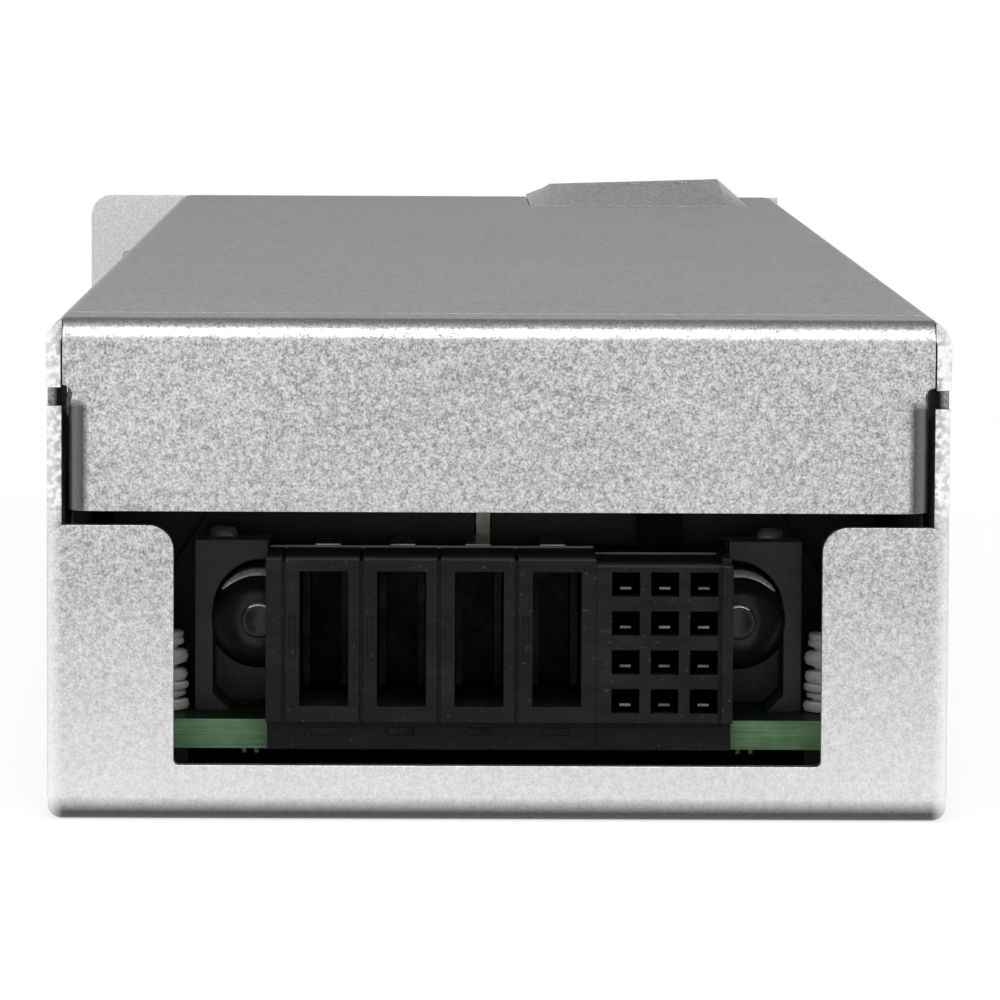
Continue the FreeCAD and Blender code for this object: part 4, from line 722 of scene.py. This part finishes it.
def guide_highlight_crescents():
    """Pale crescents that are painted highlights on each guide post: one on its upper shoulder, one on the
    rim of its tip.
    """
    shell = Shell()
    steps = 26
    start_angle = 60.0
    least_breadth, swell = 0.02, 0.1
    # radius, breadth and set-back in millimetres, slope across the breadth, and angle where it tapers out
    crescents = ((3.9, 0.52, 1.55, 1.3, 142.0), (1.34, 0.17, -0.2, 0.9, 132.0))
    for side, place in guide_posts():
        for reach, breadth, back, slope, end_angle in crescents:
            rings = []
            for step in range(steps + 1):
                share = step / steps
                angle = math.radians(start_angle + (end_angle - start_angle) * share)
                width = breadth * math.sqrt(max(1 - share ** 3, 0.0)) + least_breadth
                ring = []
                for turn in range(8):
                    around = turn * math.tau / 8
                    radius = reach + width * 0.5 * math.cos(around)
                    rearward = back - swell * math.sin(around) + slope * (radius - reach)
                    ring.append(place(-side * math.cos(angle) * radius, rearward, math.sin(angle) * radius))
                rings.append(ring if side < 0 else ring[::-1])
            shell.skin(rings)
    shell.piece("guide_highlight_crescents", "guide_housings", sharp=60, replaces=False).data.materials[0] = HIGHLIGHT_LAND_FINISH


def lead_header():
    """Small black header that stands on the board behind the connector, hollow at its top."""
    back_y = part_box("front_barrier")[0].y - 0.3 * MM
    left, right = 12.3 * MM, 16.1 * MM
    middle = (left + right) / 2
    board_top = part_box("main_board")[1].z
    front_y, top = back_y - 3.4 * MM, board_top + 16.0 * MM
    wall = 0.45 * MM
    hollow = 3.5 * MM
    outer = [(left, front_y), (right, front_y), (right, back_y), (left, back_y)]
    inner = [(left + wall, front_y + wall), (right - wall, front_y + wall), (right - wall, back_y - wall),
             (left + wall, back_y - wall)]
    shell = Shell()
    shell.skin([
        [Vector((x, y, board_top)) for x, y in outer],
        [Vector((x, y, top - wall)) for x, y in outer],
        [Vector((x * 0.985 + middle * 0.015, y, top)) for x, y in outer],
        [Vector((x, y, top)) for x, y in inner],
        [Vector((x, y, top - hollow)) for x, y in inner],
    ])
    shell.piece("lead_header", "signal_housing", sharp=30, replaces=False)


def fittings():
    flush_screws("cover_screws", 0)
    flush_screws("panel_screws", 0)
    pan_screws("fan_screws", 1)
    pan_screws("board_screws", 2)
    pan_screws("ear_screws", 2, 0.6)
    ring_stack("board_washers_rounded", "board_washers",
               [(0.38, 1.0), (0.1, 0.72), (0.24, 0.9), (0.28, 0.98)])
    ring_stack("board_nuts_turned", "board_nuts",
               [(0.26, 1.0), (0.08, 0.7), (0.3, 1.02), (0.08, 0.7), (0.14, 0.9), (0.14, 0.88)])
    stud_threads()
    nose_beads()
    lead_header()
    guide_tips()
    guide_highlight_crescents()


# ---- studio -------------------------------------------------------------------------------------
def seen_mask(w):
    """1 for what is looked at, mirrored or seen through, 0 for the light that it sheds."""
    paths = w.add("ShaderNodeLightPath")
    seen = w.maths("ADD", paths.outputs["Is Camera Ray"], paths.outputs["Is Glossy Ray"], clamp=True)
    return w.maths("ADD", seen, paths.outputs["Is Transmission Ray"], clamp=True)


def pale_floor():
    """Wide white floor. It keeps the object's shadow near by, and far off it reads as plain white."""
    mesh = bpy.data.meshes.new("floor")
    reach = 30.0
    mesh.from_pydata([(-reach, -reach, 0), (reach, -reach, 0), (reach, reach, 0), (-reach, reach, 0)], [],
                     [(0, 1, 2, 3)])
    floor = bpy.data.objects.new("floor", mesh)
    bpy.context.scene.collection.objects.link(floor)
    material = bpy.data.materials.new("pale floor")
    material.use_nodes = True
    tree = material.node_tree
    tree.nodes.clear()
    w = Wiring(tree)
    place = w.add("ShaderNodeSeparateXYZ", None, Vector=w.add("ShaderNodeTexCoord").outputs["Object"])
    half_width = (cad_high.x - cad_low.x) / 2
    half_length = (cad_high.y - cad_low.y) / 2
    beside = w.maths("SUBTRACT", w.maths("ABSOLUTE", place.outputs["X"]), half_width)
    beyond = w.maths("SUBTRACT", w.maths("ABSOLUTE", place.outputs["Y"]), half_length)
    away = w.maths("MAXIMUM", beside, beyond)
    shadow_reach, lift_beneath = 0.3, 0.74
    lift = w.maths("MULTIPLY", seen_mask(w), w.remap(away, 0.0, shadow_reach, lift_beneath, 1.0))
    plain = w.add("ShaderNodeBsdfDiffuse", None, Color=flat(0.92))
    white = w.add("ShaderNodeEmission", None, Strength=1.0)
    mix = w.add("ShaderNodeMixShader", None, n0=lift, n1=plain.outputs[0], n2=white.outputs[0])
    output = w.add("ShaderNodeOutputMaterial")
    tree.links.new(mix.outputs[0], output.inputs["Surface"])
    mesh.materials.append(material)


def studio_air():
    """World: a white sweep round the horizon under a dim grey ceiling.

    The soft light that it sheds is stronger from above.
    """
    world = bpy.data.worlds.new("studio")
    bpy.context.scene.world = world
    world.use_nodes = True
    tree = world.node_tree
    tree.nodes.clear()
    w = Wiring(tree)
    direction = w.add("ShaderNodeTexCoord").outputs["Generated"]
    height = w.add("ShaderNodeSeparateXYZ", None, Vector=direction).outputs["Z"]
    sweep = w.remap(height, 0.1, 0.45, 1.0, 0.38)
    light = w.remap(height, 0.0, 0.8, 0.35, 0.6)
    level = w.add("ShaderNodeMix", {"data_type": "FLOAT"}, n0=seen_mask(w), n2=light, n3=sweep).outputs[0]
    shine = w.add("ShaderNodeBackground", None, Color=(1, 1, 1, 1), Strength=level)
    output = w.add("ShaderNodeOutputWorld")
    tree.links.new(shine.outputs[0], output.inputs["Surface"])


def softbox(name, place, target, width, height, power):
    """Rectangular lamp aimed at a point, in metres and watts."""
    lamp = bpy.data.lights.new(name, "AREA")
    lamp.shape = "RECTANGLE"
    lamp.size = width
    lamp.size_y = height
    lamp.energy = power
    holder = bpy.data.objects.new(name, lamp)
    holder.location = place
    holder.rotation_euler = (Vector(target) - Vector(place)).to_track_quat("-Z", "Y").to_euler()
    bpy.context.scene.collection.objects.link(holder)


def lamps():
    front_end = (0, -0.1, 0)
    softbox("front top softbox", (0.0, -1.1, 1.3), front_end, width=1.4, height=0.9, power=22.0)
    for name, aside in (("left softbox", -1.6), ("right softbox", 1.6)):
        softbox(name, (aside, -0.6, 0.8), front_end, width=0.9, height=0.9, power=7.0)


def camera():
    """Long lens, a little above the module and almost square to the output connector."""
    lens = bpy.data.cameras.new("camera")
    lens.sensor_width = 36.0
    lens.lens = 230.9
    lens.clip_end = 100.0
    holder = bpy.data.objects.new("camera", lens)
    pitch = math.radians(4.888)
    yaw = math.radians(-0.61)
    roll = math.radians(0.279)
    turn = (Matrix.Rotation(yaw, 4, "Z") @ Matrix.Rotation(math.pi / 2 - pitch, 4, "X")
            @ Matrix.Rotation(roll, 4, "Z"))
    place = Vector((-5.41, -651.46, 70.76)) * MM
    holder.matrix_world = Matrix.Translation(place) @ turn
    bpy.context.scene.collection.objects.link(holder)
    bpy.context.scene.camera = holder


def build():
    bpy.context.scene.view_settings.view_transform = "Standard"
    dress_nodes()
    fittings()
    pale_floor()
    studio_air()
    lamps()
    camera()


build()
